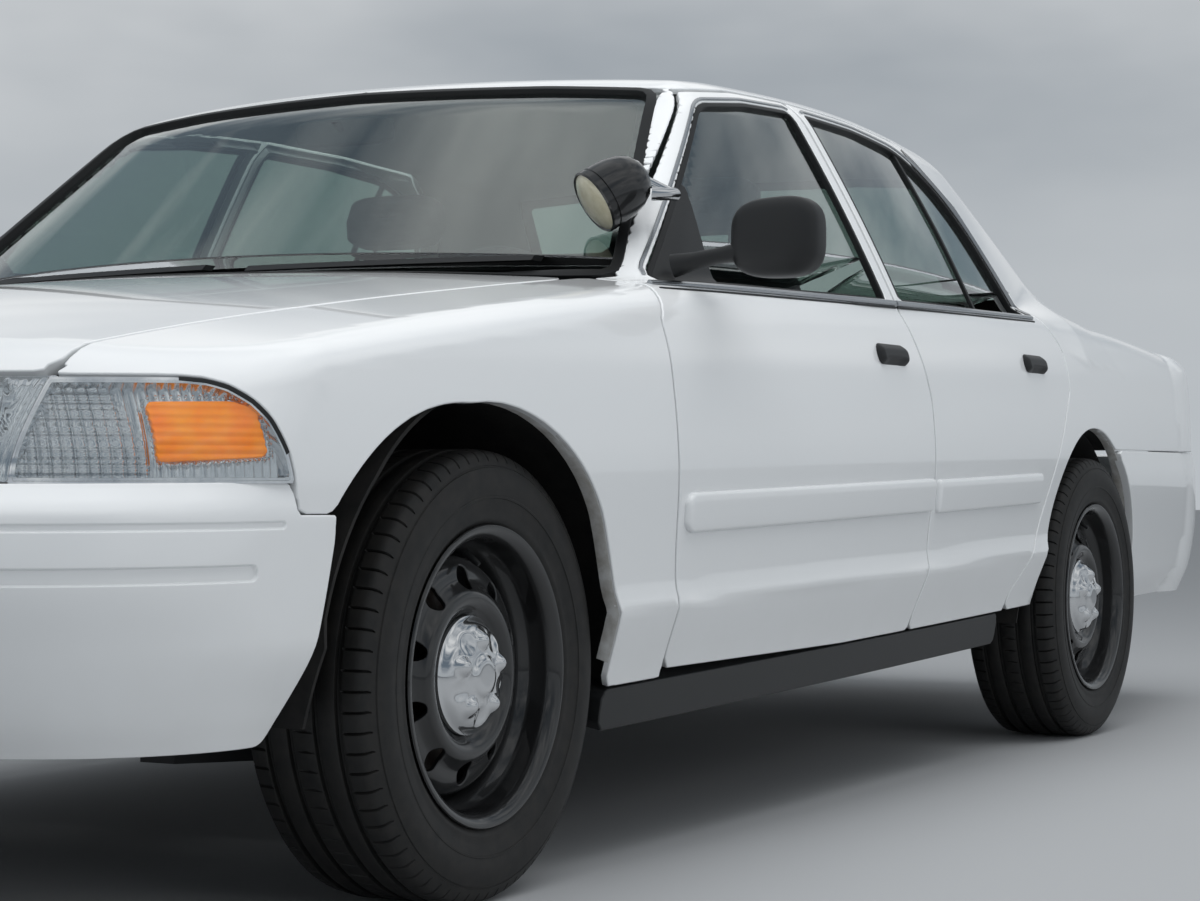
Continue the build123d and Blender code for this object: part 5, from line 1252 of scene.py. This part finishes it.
seam = sweep(seam, strip_profile(3.2, -2.5, 1.0, 22.0), shell_normals(seam))
lens = pressed_panel(lens, 2.6, 1.0, gap=set_in(1.0))
reflector = pressed_panel(reflector, 6.0, 0.3, gap=corner_reflector)
side_wall = pressed_panel(side_wall, 26.0, 0.2, gap=set_in(1.5))
amber = pressed_panel(amber, 9.0, 2.0, gap=amber_gap)
piece("corner_lamps", both(lens), clear_lens, "body", "lamp_lens", "corner_lamps")
piece("corner_lamp_reflectors", both(reflector), silvered, "body", "lamp_lens")
piece("corner_lamp_rims", both(side_wall), silvered, "body", "lamp_lens")
piece("turn_signal_blocks", both(amber), amber_painted_glow_plastic, "body", "lamp_lens")
piece("corner_lamp_prisms", both(bosses), clear_lens, "body", "lamp_lens")
piece("lamp_gaskets", both(joined(gasket, foot, seam)), black_rubber, "body", "black_plastic")

# Headlamps. A clear lens between grille and corner lamp, over a silvered bowl with its
# bulb shield.
BOWL_Y, BOWL_Z, BOWL_RADIUS = 545.0, 712.0, 92.0


def headlamp_depth(p):
    return least(p[:, 1] - 397.0, LAMP_SEAM_Y - 4.0 - p[:, 1], p[:, 2] - LAMP_Z, LAMP_TOP - p[:, 2])


def bowl_gap(p):
    reach = np.hypot((p[..., 1] - BOWL_Y) * 0.75, p[..., 2] - BOWL_Z) / BOWL_RADIUS
    fluting = 2.0 * np.abs(np.sin(p[..., 1] * np.pi / 11.0))
    return shell_gap(p) + 18.0 + 62.0 * np.clip(1 - reach ** 2, 0, 1) - fluting


lens = trimmed(lamp_sheet(30, 58, 8.0, 24, set_in(1.0)), headlamp_depth)
bowl = trimmed(lamp_sheet(28, 60, 3.4, 32, bowl_gap), lambda p: headlamp_depth(p) + 2.0)
shield = turned([(0.5, 0), (14, 2), (20, 8), (22, 16), (21, 17), (12, 12), (0.5, 10)], 40)
shield = moved((shield[0][:, [1, 0, 2]] * np.array([-1.0, 1, 1]), shield[1]), 2445, BOWL_Y, BOWL_Z)
stalk = sweep([(2444, BOWL_Y, BOWL_Z), (2380, BOWL_Y, BOWL_Z)], circle(6.0), (0, 0, 1))
piece("headlamps", both(pressed_panel(lens, 2.6, 1.0, gap=set_in(1.0))), clear_lens, "body", "lamp_lens",
      "headlamps")
piece("headlamp_bowls", both(pressed_panel(bowl, 5.0, 0.3, gap=bowl_gap)), silvered, "body", "lamp_lens")
piece("bulb_shields", both(joined(outward(shield), stalk)), chrome, "body", "lamp_lens")

# Tail lamps. Red lenses with moulded ribs and a clear reversing pane, on a black backing.
tail_red = mottled("red_acrylic", "#7a090e", "#a3141a", 20.0, 0.12, 0.02, Coat_Weight=1.0)


def tail_gap(p):
    rib = np.abs(np.sin(p[..., 2] * np.pi / 16.0)) ** 0.6
    return shell_gap(p) + 2.6 - 1.6 * rib


tail = triangulated(level_sections((-1900, 0), 120, 172, np.linspace(732, 933, 60), 9.0, tail_gap))
inner = trimmed(tail, lambda p: np.minimum(tail_lamp_depth(p), np.abs(p[:, 1]) - 604) - 3.0)
pane_box = rounded([(618, 790), (700, 790), (700, 850), (618, 850)], 10, 4.0)
red = trimmed(inner, lambda p: -outline_depth(np.abs(p[:, 1]), p[:, 2], grown(pane_box, 1.0)))
clear = trimmed(inner, lambda p: outline_depth(np.abs(p[:, 1]), p[:, 2], pane_box))
piece("tail_lamps", both(pressed_panel(red, 12.0, 1.5, gap=tail_gap)), tail_red, "body", "tail_red",
      "tail_lamps")
piece("reversing_lamps", both(pressed_panel(clear, 8.0, 0.5, gap=tail_gap)), silvered, "body", "lamp_lens")

# Door mirrors. Grained black housings on a sail plate, silvered glass set into the back.
MIRROR_AT = np.array([877.0, 1054.0, 1062.0])


def bent(value, power):
    """A sine or cosine made squarer by a power below 1."""
    return np.sign(value) * np.abs(value) ** power


def ball_angles(rows, columns):
    """Latitudes as a column and longitudes as a row."""
    return (np.linspace(-np.pi / 2, np.pi / 2, rows)[:, None],
            np.linspace(-np.pi, np.pi, columns, endpoint=False)[None, :])


def blob(size, at, power=0.6, rows=28, columns=56, shape=None):
    """A rounded box: half sizes, centre, and how square it is (1 round, 0 square)."""
    v, u = ball_angles(rows, columns)
    points = np.stack([bent(np.cos(v), power) * bent(np.cos(u), power) * size[0],
                       bent(np.cos(v), power) * bent(np.sin(u), power) * size[1],
                       bent(np.sin(v), power) * size[2] + 0 * u], -1)
    if shape is not None:
        points = shape(points)
    return wrapped(points + np.asarray(at, float))


def mirror_form(points):
    """Tapers outward, bulges ahead and is cut flat behind."""
    x, y, z = points[..., 0], points[..., 1], points[..., 2]
    out = (y + 82) / 164
    height = z * (0.9 + 0.2 * out - 0.16 * out ** 3) + 3 * out
    return np.stack([np.maximum(x, -34) - 4 * out, y, height], -1)


housing = blob((46, 82, 72), MIRROR_AT, 0.58, shape=mirror_form)
glass = blob((3, 72, 60), MIRROR_AT + np.array([-35.5, 1.0, 1.0]), 0.5, rows=18, columns=40)
arm = sweep([(915, 868, 1018), (905, 905, 1026), (895, 945, 1034), (888, 985, 1040)], circle(17, 20),
            (0, 0, 1), scale=[(1.5, 1.25), (1.35, 0.95), (1.3, 0.85), (1.5, 1.0)])
SAIL = rounded([(965, 991), (700, 1194), (690, 1184), (742, 1066), (775, 991)], (6, 4, 4, 60, 8))
sail_gap = set_in(3.0)
sail = triangulated(cross_sections(680, 985, 15, 50, 12, 12, gap=sail_gap))
sail = trimmed(sail, lambda p: side_depth(p, SAIL) - 1.0)
sail = pressed_panel(sail, 10.0, 2.0, gap=sail_gap)
pair("door_mirror_SIDE", joined(housing, arm), grained_black, "front_door_SIDE_body", "black_plastic",
     "front_door_fittings_SIDE")
pair("mirror_glass_SIDE", glass, silvered, "front_door_SIDE_body", "black_plastic")
pair("mirror_sail_SIDE", sail, grained_black, "front_door_SIDE_body", "black_plastic")

# Door handles. Black oval lift handles, a paddle over a dished base.
for end, x, z in (("front", 117.0, 891.0), ("rear", -799.0, 905.0)):
    oval = rounded([(x - 76, z - 22), (x + 76, z - 22), (x + 76, z + 22), (x - 76, z + 22)], 21.5, 3.0)

    def handle_gap(p, oval=oval, x=x, z=z):
        depth = side_depth(p, oval)
        bulge = 14.0 * np.clip(1 - (1 - np.clip(depth, 0, 16) / 16) ** 2, 0, 1)
        dish = 7.0 * np.exp(-(((p[..., 0] - x) / 46) ** 4) - ((p[..., 2] - z + 13) / 7) ** 4)
        return shell_gap(p) - bulge + dish

    handle = triangulated(cross_sections(x - 84, x + 84, 8, 17, 3.0, 2.4, gap=handle_gap))
    handle = trimmed(handle, lambda p: side_depth(p, oval) - 1.0)
    handle = pressed_panel(handle, 18.0, 1.0, gap=handle_gap)
    nodes = ["rear_door_fittings_SIDE"] if end == "rear" else []
    pair(f"{end}_door_handle_SIDE", handle, grained_black, f"{end}_door_SIDE_body", "black_plastic", *nodes)

# Pillar spotlight. A gloss black bulb on a chrome stem, turned by a handle inside the car.
SPOT_AT, SPOT_AIM = np.array([915.0, 745.0, 1155.0]), np.array([0.65, -0.55, -0.52])
STEM = [(757, 706, 1204), (790, 749, 1188), (846, 830, 1156), (857, 842, 1151), (866, 834, 1151),
        (880, 808, 1152)]


def aimed(part, at, aim):
    """A part drawn about the Y axis, turned to face a direction."""
    aim = np.asarray(aim, float) / np.linalg.norm(aim)
    side = np.cross(aim, (0, 0, 1))
    side /= np.linalg.norm(side)
    return (part[0] @ np.stack([side, aim, np.cross(side, aim)]) + np.asarray(at, float),) + tuple(part[1:])


bulb_profile = [(0.5, -76), (14, -74), (30, -67), (44, -54), (53, -36), (58, -14), (59.5, 8), (59.5, 22),
                (57.5, 23.5), (57.5, 26), (60, 27), (60, 38), (57, 41), (54, 38), (40, 20), (0.5, 10)]
bulb = outward(aimed(turned(bulb_profile, 72), SPOT_AT, SPOT_AIM))
lens_profile = [(0.5, 52), (20, 51), (38, 47), (50, 42), (55, 38), (55, 34), (0.5, 34)]
lens = outward(aimed(turned(lens_profile, 72), SPOT_AT, SPOT_AIM))
stem = sweep(STEM, circle(10, 24), (0, 0, 1), scale=[(s, s) for s in (1.1, 0.9, 0.9, 1.2, 1.1, 1.3)])
cream_lens = mottled("frosted_lens", "#cfc8aa", "#e0dac2", 60.0, 0.18, 0.1, Coat_Weight=1.0)
piece("spotlight", bulb, gloss_paint, "body", "spotlight_black", "spotlight")
piece("spotlight_lens", lens, cream_lens, "body", "lamp_lens")
piece("spotlight_stem", stem, chrome, "body", "spotlight_black")

# Door inners. A pressed steel frame painted with the body closes each door, and a dark
# moulded trim panel with an armrest covers the cabin side.
cabin_plastic = grained("cabin_plastic", "#26282b", 0.55, 700.0, 0.3, 0.0004)
BELT_Z = 988.0
CORE_EDGE = 7.0
CORE_SET = PANEL + 0.4


def sunk(shell, depth):
    """A trimmed mesh moved in from the painted form."""
    points, triangles = shell
    return points - shell_normals(points) * depth, triangles


for end, outline, window, x_from, x_to in (("front", front_door_outline, WINDOW_FRONT, -100, 1100),
                                           ("rear", rear_door_outline, WINDOW_REAR, -1090, -20)):
    def below(p, outline=outline):
        return least(side_depth(p, outline) - CORE_EDGE, over_sill(p) - CORE_EDGE, BELT_Z - p[:, 2])

    def above(p, outline=outline, window=window):
        return least(side_depth(p, outline) - CORE_EDGE, -side_depth(p, window) - CORE_EDGE, p[:, 2] - BELT_Z)

    shell = triangulated(cross_sections(x_from, x_to, -26, 56, step=24.0, pitch=18.0))
    low, high = trimmed(shell, below), trimmed(shell, above)
    core = joined(pressed_panel(sunk(low, CORE_SET), 44.0, 2.0),
                  pressed_panel(sunk(high, CORE_SET), 16.0, 1.0))
    trim_low = pressed_panel(sunk(trimmed(low, lambda p: below(p) - 18.0), 57.0), 14.0, 4.0)
    rest = [(x_to - 330, 742), (x_to - 420, 748), (x_from + 330, 748), (x_from + 240, 742)]
    rest = on_side(spaced(rest, 30.0), -92.0)
    rest = sweep(rest, rounded([(-26, -24), (26, -24), (26, 24), (-26, 24)], 12, 5.0), (0, 0, 1))
    body = f"{end}_door_SIDE_body"
    pair(f"{end}_door_core_SIDE", core, white_enamel, body, "white_paint")
    pair(f"{end}_door_trim_SIDE", trim_low, cabin_plastic, body, "cabin_plastic")
    pair(f"{end}_armrest_SIDE", outward(rest), cabin_plastic, body, "cabin_plastic")

# Headlining. Pale grey felt board under the roof and down the pillars.
felt = mottled("felt_headlining", "#76787a", "#8a8c8e", 900.0, 0.95, 0.5, Sheen_Weight=0.3)
lining = triangulated(cross_sections(-1420, 620, 10, 90, step=38.0, pitch=30.0, centre_z=900.0))
lining = trimmed(lining, lambda p: np.minimum(roof_depth(p) - 5.0, p[:, 2] - 1100))
piece("headlining", both(pressed_panel(sunk(lining, 14.0), 8.0, 2.0)), felt, "body", "seat_cloth")

# Dashboard. A soft-faced moulding with rounded edges, an instrument hood before the driver,
# vents and a dark crash pad.
DRIVER_Y = 390.0
dash_line = rounded([(1102, 662), (1102, 888), (1030, 898), (930, 928), (860, 958), (772, 942), (718, 890),
                     (738, 782), (832, 644)], (4, 12, 60, 60, 30, 34, 30, 60, 20), 8.0)
dash_profile = np.array([(-(x - 900), z - 800) for x, z in dash_line])
ys = np.concatenate([[-768, -766, -760, -750], np.arange(-720, 721, 60), [750, 760, 766, 768]]).astype(float)
fade = np.clip((768 - np.abs(ys)) / 18, 0, 1)
scale = np.repeat((0.93 + 0.07 * np.sqrt(1 - (1 - fade) ** 2))[:, None], 2, 1)
dash = sweep([(900, y, 800) for y in ys], dash_profile, (0, 0, 1), scale=scale)
hood_line = blob((92, 170, 34), (812, DRIVER_Y, 938), 0.7, rows=20, columns=48)
vents = joined(*[blob((7, 46, 19), (728, y, 868), 0.4, rows=10, columns=24) for y in (-640, -90, 90, 640)])
piece("dashboard", joined(outward(dash), hood_line, vents), cabin_plastic, "body", "cabin_plastic",
      "dashboard")

# Steering wheel. Polyurethane rim over a steel ring, with three spokes and an airbag boss.
wheel_centre, wheel_tilt = np.array([640.0, DRIVER_Y, 905.0]), math.radians(25.0)
wheel_axis = np.array([-math.cos(wheel_tilt), 0.0, math.sin(wheel_tilt)])
wheel_up = np.array([math.sin(wheel_tilt), 0.0, math.cos(wheel_tilt)])
wheel_side = np.array([0.0, 1.0, 0.0])


def on_wheel(radius, degrees, lift=0.0):
    turn = math.radians(degrees)
    across, up = radius * math.cos(turn), radius * math.sin(turn)
    return wheel_centre + wheel_side * across + wheel_up * up + wheel_axis * lift


rim = sweep([on_wheel(184, d) for d in range(0, 360, 5)], circle(13.5, 18), wheel_axis, closed=True)
spokes = [sweep([on_wheel(40, d, -12), on_wheel(110, d, -10), on_wheel(178, d, -2)],
                rounded([(-17, -6), (17, -6), (17, 6), (-17, 6)], 5, 4.0), wheel_axis,
                scale=[(1.5, 1.2), (1.0, 1.0), (0.9, 1.0)]) for d in (-8, 188, 270)]
boss_profile = [(0.5, 8), (40, 6), (58, -2), (66, -18), (60, -34), (34, -40), (32, -96), (0.5, -98)]
boss = outward(aimed(turned(boss_profile, 48), wheel_centre, wheel_axis))
piece("steering_wheel", joined(rim, boss, *spokes), cabin_plastic, "body", "cabin_plastic", "steering_wheel")

# Seats. Padded cushions and backs in dark woven cloth with pulled-in welts, on dark bases.
seat_cloth, tree, shader = surface("woven_seat_cloth", Roughness=0.9, Sheen_Weight=0.25)
weave = add(tree, "ShaderNodeTexWave", {"Vector": position(tree), "Scale": 420.0, "Distortion": 1.5})
tree.links.new(blended(tree, weave.outputs["Fac"], "#1d2023", "#33373b"), shader.inputs["Base Color"])
relief(tree, shader, weave.outputs["Fac"], 0.35, 0.0005)


CHANNEL = 7.0    # depth and half width of a sewn channel


def pad(half_w, half_l, thickness, place, lean, width_lines):
    """A cushion of half width, half length and thickness, with sewn channels width_lines off
    its middle, then leant by an angle and placed."""
    v, u = ball_angles(40, 64)
    y = bent(np.cos(v), 0.35) * bent(np.sin(u), 0.45) * half_w
    x = bent(np.cos(v), 0.35) * bent(np.cos(u), 0.45) * half_l
    x, y = x * (1 - 0.04 * (y / half_w) ** 2), y * (1 - 0.04 * (x / half_l) ** 2)
    z = bent(np.sin(v), 0.6) * thickness / 2 * (1.0 - 0.16 * (np.abs(y) / half_w) ** 3)
    for line in width_lines:
        z = z - np.sign(z) * CHANNEL * np.exp(-((np.abs(y) - line) / CHANNEL) ** 2)
    z = z + np.sign(z) * 3.0 * np.cos(x / half_l * np.pi * 2.5) * (np.abs(y) < (width_lines or [half_w])[0])
    points = np.stack([x, y, z], -1)
    turn = np.array([[math.cos(lean), 0, -math.sin(lean)], [0, 1, 0], [math.sin(lean), 0, math.cos(lean)]])
    return wrapped(points @ turn.T + np.array(place, float))


for side, sign in (("left", 1), ("right", -1)):
    y = sign * 405.0
    cushion = pad(245, 258, 128, (222, y, 566), 0.05, [150])
    back = pad(245, 285, 112, (-118, y, 868), math.pi / 2 + 0.24, [150])
    rest = pad(128, 62, 78, (-172, y, 1240), math.pi / 2 + 0.2, [])
    base = blob((225, 215, 74), (180, y, 430), 0.3, rows=14, columns=40)
    posts = joined(*[sweep([(-166, y + dy, 1110), (-178, y + dy, 1196)], circle(6.5), (0, 1, 0))
                     for dy in (-60, 60)])
    for name, part in (("cushion", cushion), ("backrest", back), ("headrest", rest)):
        nodes = ["front_seats"] if side == "left" and name == "cushion" else []
        piece(f"front_seat_{name}_{side}", part, seat_cloth, "body", "seat_cloth", *nodes,
                        sharp=80.0)
    piece(f"front_seat_base_{side}", base, cabin_plastic, "body", "cabin_plastic")
    piece(f"headrest_posts_{side}", posts, chrome, "body", "cabin_plastic")
bench = pad(640, 215, 130, (-592, 0, 590), 0.06, [230, 440])
bench_back = pad(640, 245, 110, (-868, 0, 838), math.pi / 2 + 0.2, [230, 440])
piece("rear_bench", bench, seat_cloth, "body", "seat_cloth", "rear_seat", sharp=80.0)
piece("rear_backrest", bench_back, seat_cloth, "body", "seat_cloth", sharp=80.0)
bench_base = blob((200, 600, 68), (-600, 0, 470), 0.3, rows=12, columns=40)
piece("bench_base", bench_base, cabin_plastic, "body", "cabin_plastic")

# Inner mirror. A black shell round a silvered glass, on a button bonded to the windscreen.
shell = blob((12, 116, 28), (650, 0, 1335), 0.45, rows=20, columns=52)
glass = blob((2, 108, 23), (640, 0, 1335), 0.4, rows=14, columns=48)
button = on_screen([(0, 1352)], 1, -18.0)[0]
stalk = sweep([(656, 0, 1338), (680, 0, 1345), button], circle(7), (0, 1, 0),
              scale=[(0.8, 0.8), (1, 1), (1.6, 1.6)])
piece("interior_mirror", joined(shell, stalk), cabin_plastic, "body", "cabin_plastic", "interior_mirror")
piece("interior_mirror_glass", glass, silvered, "body", "cabin_plastic")

# Wheel-arch flanges. The edges of wing and quarter are folded inward, and the folds
# are enamelled a darker, mottled grey.
darker_fold_enamel = mottled("darker_fold_enamel", "#d2d3d2", "#a19d96", 30.0, 0.5, 0.1)
turn = np.radians(np.linspace(2, 150, 60))
rear_line = [(REAR_ARCH_CENTRE[0] + (REAR_ARCH_RADIUS + 1) * math.cos(t),
              REAR_ARCH_CENTRE[1] + (REAR_ARCH_RADIUS + 1) * math.sin(t)) for t in turn]
lips = []
for line in (part_of(grown(FRONT_ARCH, 1.0), lambda x, z: z > 330 and x < 2060), rear_line):
    line = [(x, z) for x, z in line if z + RISE * x > SILL_Z0 + 4]
    path = on_side(spaced(line, 16.0), -5.0)
    lips.append(sweep(path, rounded([(-1.4, -23), (1.4, -23), (1.4, 0), (-1.4, 0)], 1.0, 1.0), (0, 1, 0)))
piece("arch_flanges", both(joined(*lips)), darker_fold_enamel, "body", "white_paint")

# Number plate. A blank pressed aluminium plate with a raised rim, held by four bolts and
# leaned to lie on the trunk lid.
PLATE_X, PLATE_FACE_X, PLATE_Z, PLATE_LEAN = -2607.5, -2610.5, 842, 0.05
plate_metal = mottled("pressed_aluminium", "#c4c7c9", "#aeb2b4", 120.0, 0.4, 0.1, Metallic=0.9)
plate = blob((3.0, 152, 76), (PLATE_X, 0, PLATE_Z), 0.16, rows=12, columns=48)
rim_line = rounded([(-148, -72), (148, -72), (148, 72), (-148, 72)], 14, 8.0)
rim = sweep([(PLATE_FACE_X, y, PLATE_Z + z) for y, z in rim_line], circle(1.6, 8), (1, 0, 0), closed=True)
bolts = joined(*[blob((3.5, 7, 7), (PLATE_FACE_X, y, PLATE_Z + z), 0.8, rows=8, columns=16)
                 for y in (-88.9, 88.9) for z in (-60.325, 60.325)])
for part in (plate, rim, bolts):
    part[0][:, 0] += PLATE_LEAN * (part[0][:, 2] - PLATE_Z)
piece("number_plate", joined(plate, rim), plate_metal, "trunk_lid_body", "white_paint")
piece("plate_bolts", bolts, chrome, "trunk_lid_body", "white_paint")

# Cowl, wipers, underbody and running gear. The frame's own solids in their real finishes:
# moulded plastic, frame paint, castings, aluminised pipe, sealed floor and felt carpet.
liner_plastic = mottled("dusty_liner_plastic", "#0d0d0e", "#2b2927", 14.0, 0.85, 0.4)
liner_line = spaced([(x, 884.0, z) for x, z in rear_line if x < REAR_ARCH_CENTRE[0] + 200], 16.0)
rear_liner = sweep(liner_line, rounded([(-1.5, -330), (1.5, -330), (1.5, 0), (-1.5, 0)], 1.0, 1.0), (0, 1, 0))
piece("rear_wheel_liners", both(rear_liner), liner_plastic, "body", "underbody")
sealed = mottled("sealed_underbody", "#141414", "#35322e", 22.0, 0.8, 0.6)
frame_paint = mottled("satin_frame_paint", "#131416", "#1d1e20", 60.0, 0.5, 0.25)
cast_metal = mottled("cast_iron_and_alloy", "#55524e", "#7c7872", 180.0, 0.55, 0.4, Metallic=0.85)
aluminised = mottled("aluminised_steel", "#8d8a86", "#6a5b4c", 9.0, 0.38, 0.05, Metallic=1.0)
carpet = mottled("needle_felt_carpet", "#17181a", "#303235", 500.0, 1.0, 0.7)
for material, names in ((grained_black, ("cowl", "wipers")), (gloss_black, ("grille",)),
                        (liner_plastic, ("wheelhouses", "fuel_tank")), (carpet, ("trunk_floor",)),
                        (sealed, ("firewall", "rear_bulkhead", "floor_pan")), (aluminised, ("exhaust",)),
                        (frame_paint, ("chassis_frame", "control_arms", "hinge_seats", "hood_hinges",
                                       "trunk_lid_hinges")),
                        (cast_metal, ("engine", "rear_axle", "steering_knuckle_left",
                                      "steering_knuckle_right"))):
    for node in names:
        for kept in bpy.data.objects[node].material_slots:
            kept.link = "OBJECT"
            kept.material = material

# Studio. A pale seamless floor under an even sky of soft light.
floor_paint = surface("floor_paint", Base_Color=linear("#a3a5a7"), Roughness=0.85)[0]
bpy.ops.mesh.primitive_plane_add(size=80.0)
floor = bpy.context.object
floor.name = "floor"
floor.data.materials.append(floor_paint)

world = bpy.data.worlds.new("studio")
bpy.context.scene.world = world
world.use_nodes = True
tree = world.node_tree
sky = tree.nodes["Background"]
way = add(tree, "ShaderNodeTexCoord").outputs["Generated"]
cloud = add(tree, "ShaderNodeMapping", {"Vector": way, "Scale": (1.0, 1.0, 2.6)})
cloud = add(tree, "ShaderNodeTexNoise", {"Vector": cloud.outputs["Vector"], "Scale": 2.2, "Detail": 5.0,
                                         "Roughness": 0.5})
rise = add(tree, "ShaderNodeSeparateXYZ", {"Vector": way}).outputs["Z"]
rise = add(tree, "ShaderNodeMapRange", {"Value": rise, "From Min": 0.0, "From Max": 0.28}).outputs["Result"]
cloud = add(tree, "ShaderNodeMapRange", {"Value": cloud.outputs["Fac"], "From Min": 0.36, "From Max": 0.66})
cloud = add(tree, "ShaderNodeMath", {0: cloud.outputs["Result"], 1: rise}, operation="MULTIPLY")
gaps = blended(tree, rise, "#c6ccd1", "#75828f")
cloud = add(tree, "ShaderNodeMix", {"Factor": cloud.outputs[0], "A": gaps, "B": linear("#fafcfd")},
            data_type="RGBA")
tree.links.new(cloud.outputs["Result"], sky.inputs["Color"])
sky.inputs["Strength"].default_value = 0.85


def softbox(name, at, towards, width, depth, power):
    light = bpy.data.lights.new(name, "AREA")
    light.shape = "RECTANGLE"
    light.size, light.size_y = width, depth
    light.energy = power
    lamp = bpy.data.objects.new(name, light)
    lamp.location = at
    lamp.rotation_euler = (Vector(towards) - Vector(at)).to_track_quat("-Z", "Y").to_euler()
    lamp.visible_glossy = False
    lamp.visible_transmission = False
    bpy.context.scene.collection.objects.link(lamp)


softbox("sky_light", (1.0, 1.0, 6.5), (0.5, 0.0, 0.5), 9.0, 6.0, 390.0)
softbox("side_light", (4.0, 8.0, 3.0), (1.0, 0.5, 0.7), 6.0, 3.0, 95.0)

bpy.context.scene.view_settings.view_transform = "Standard"
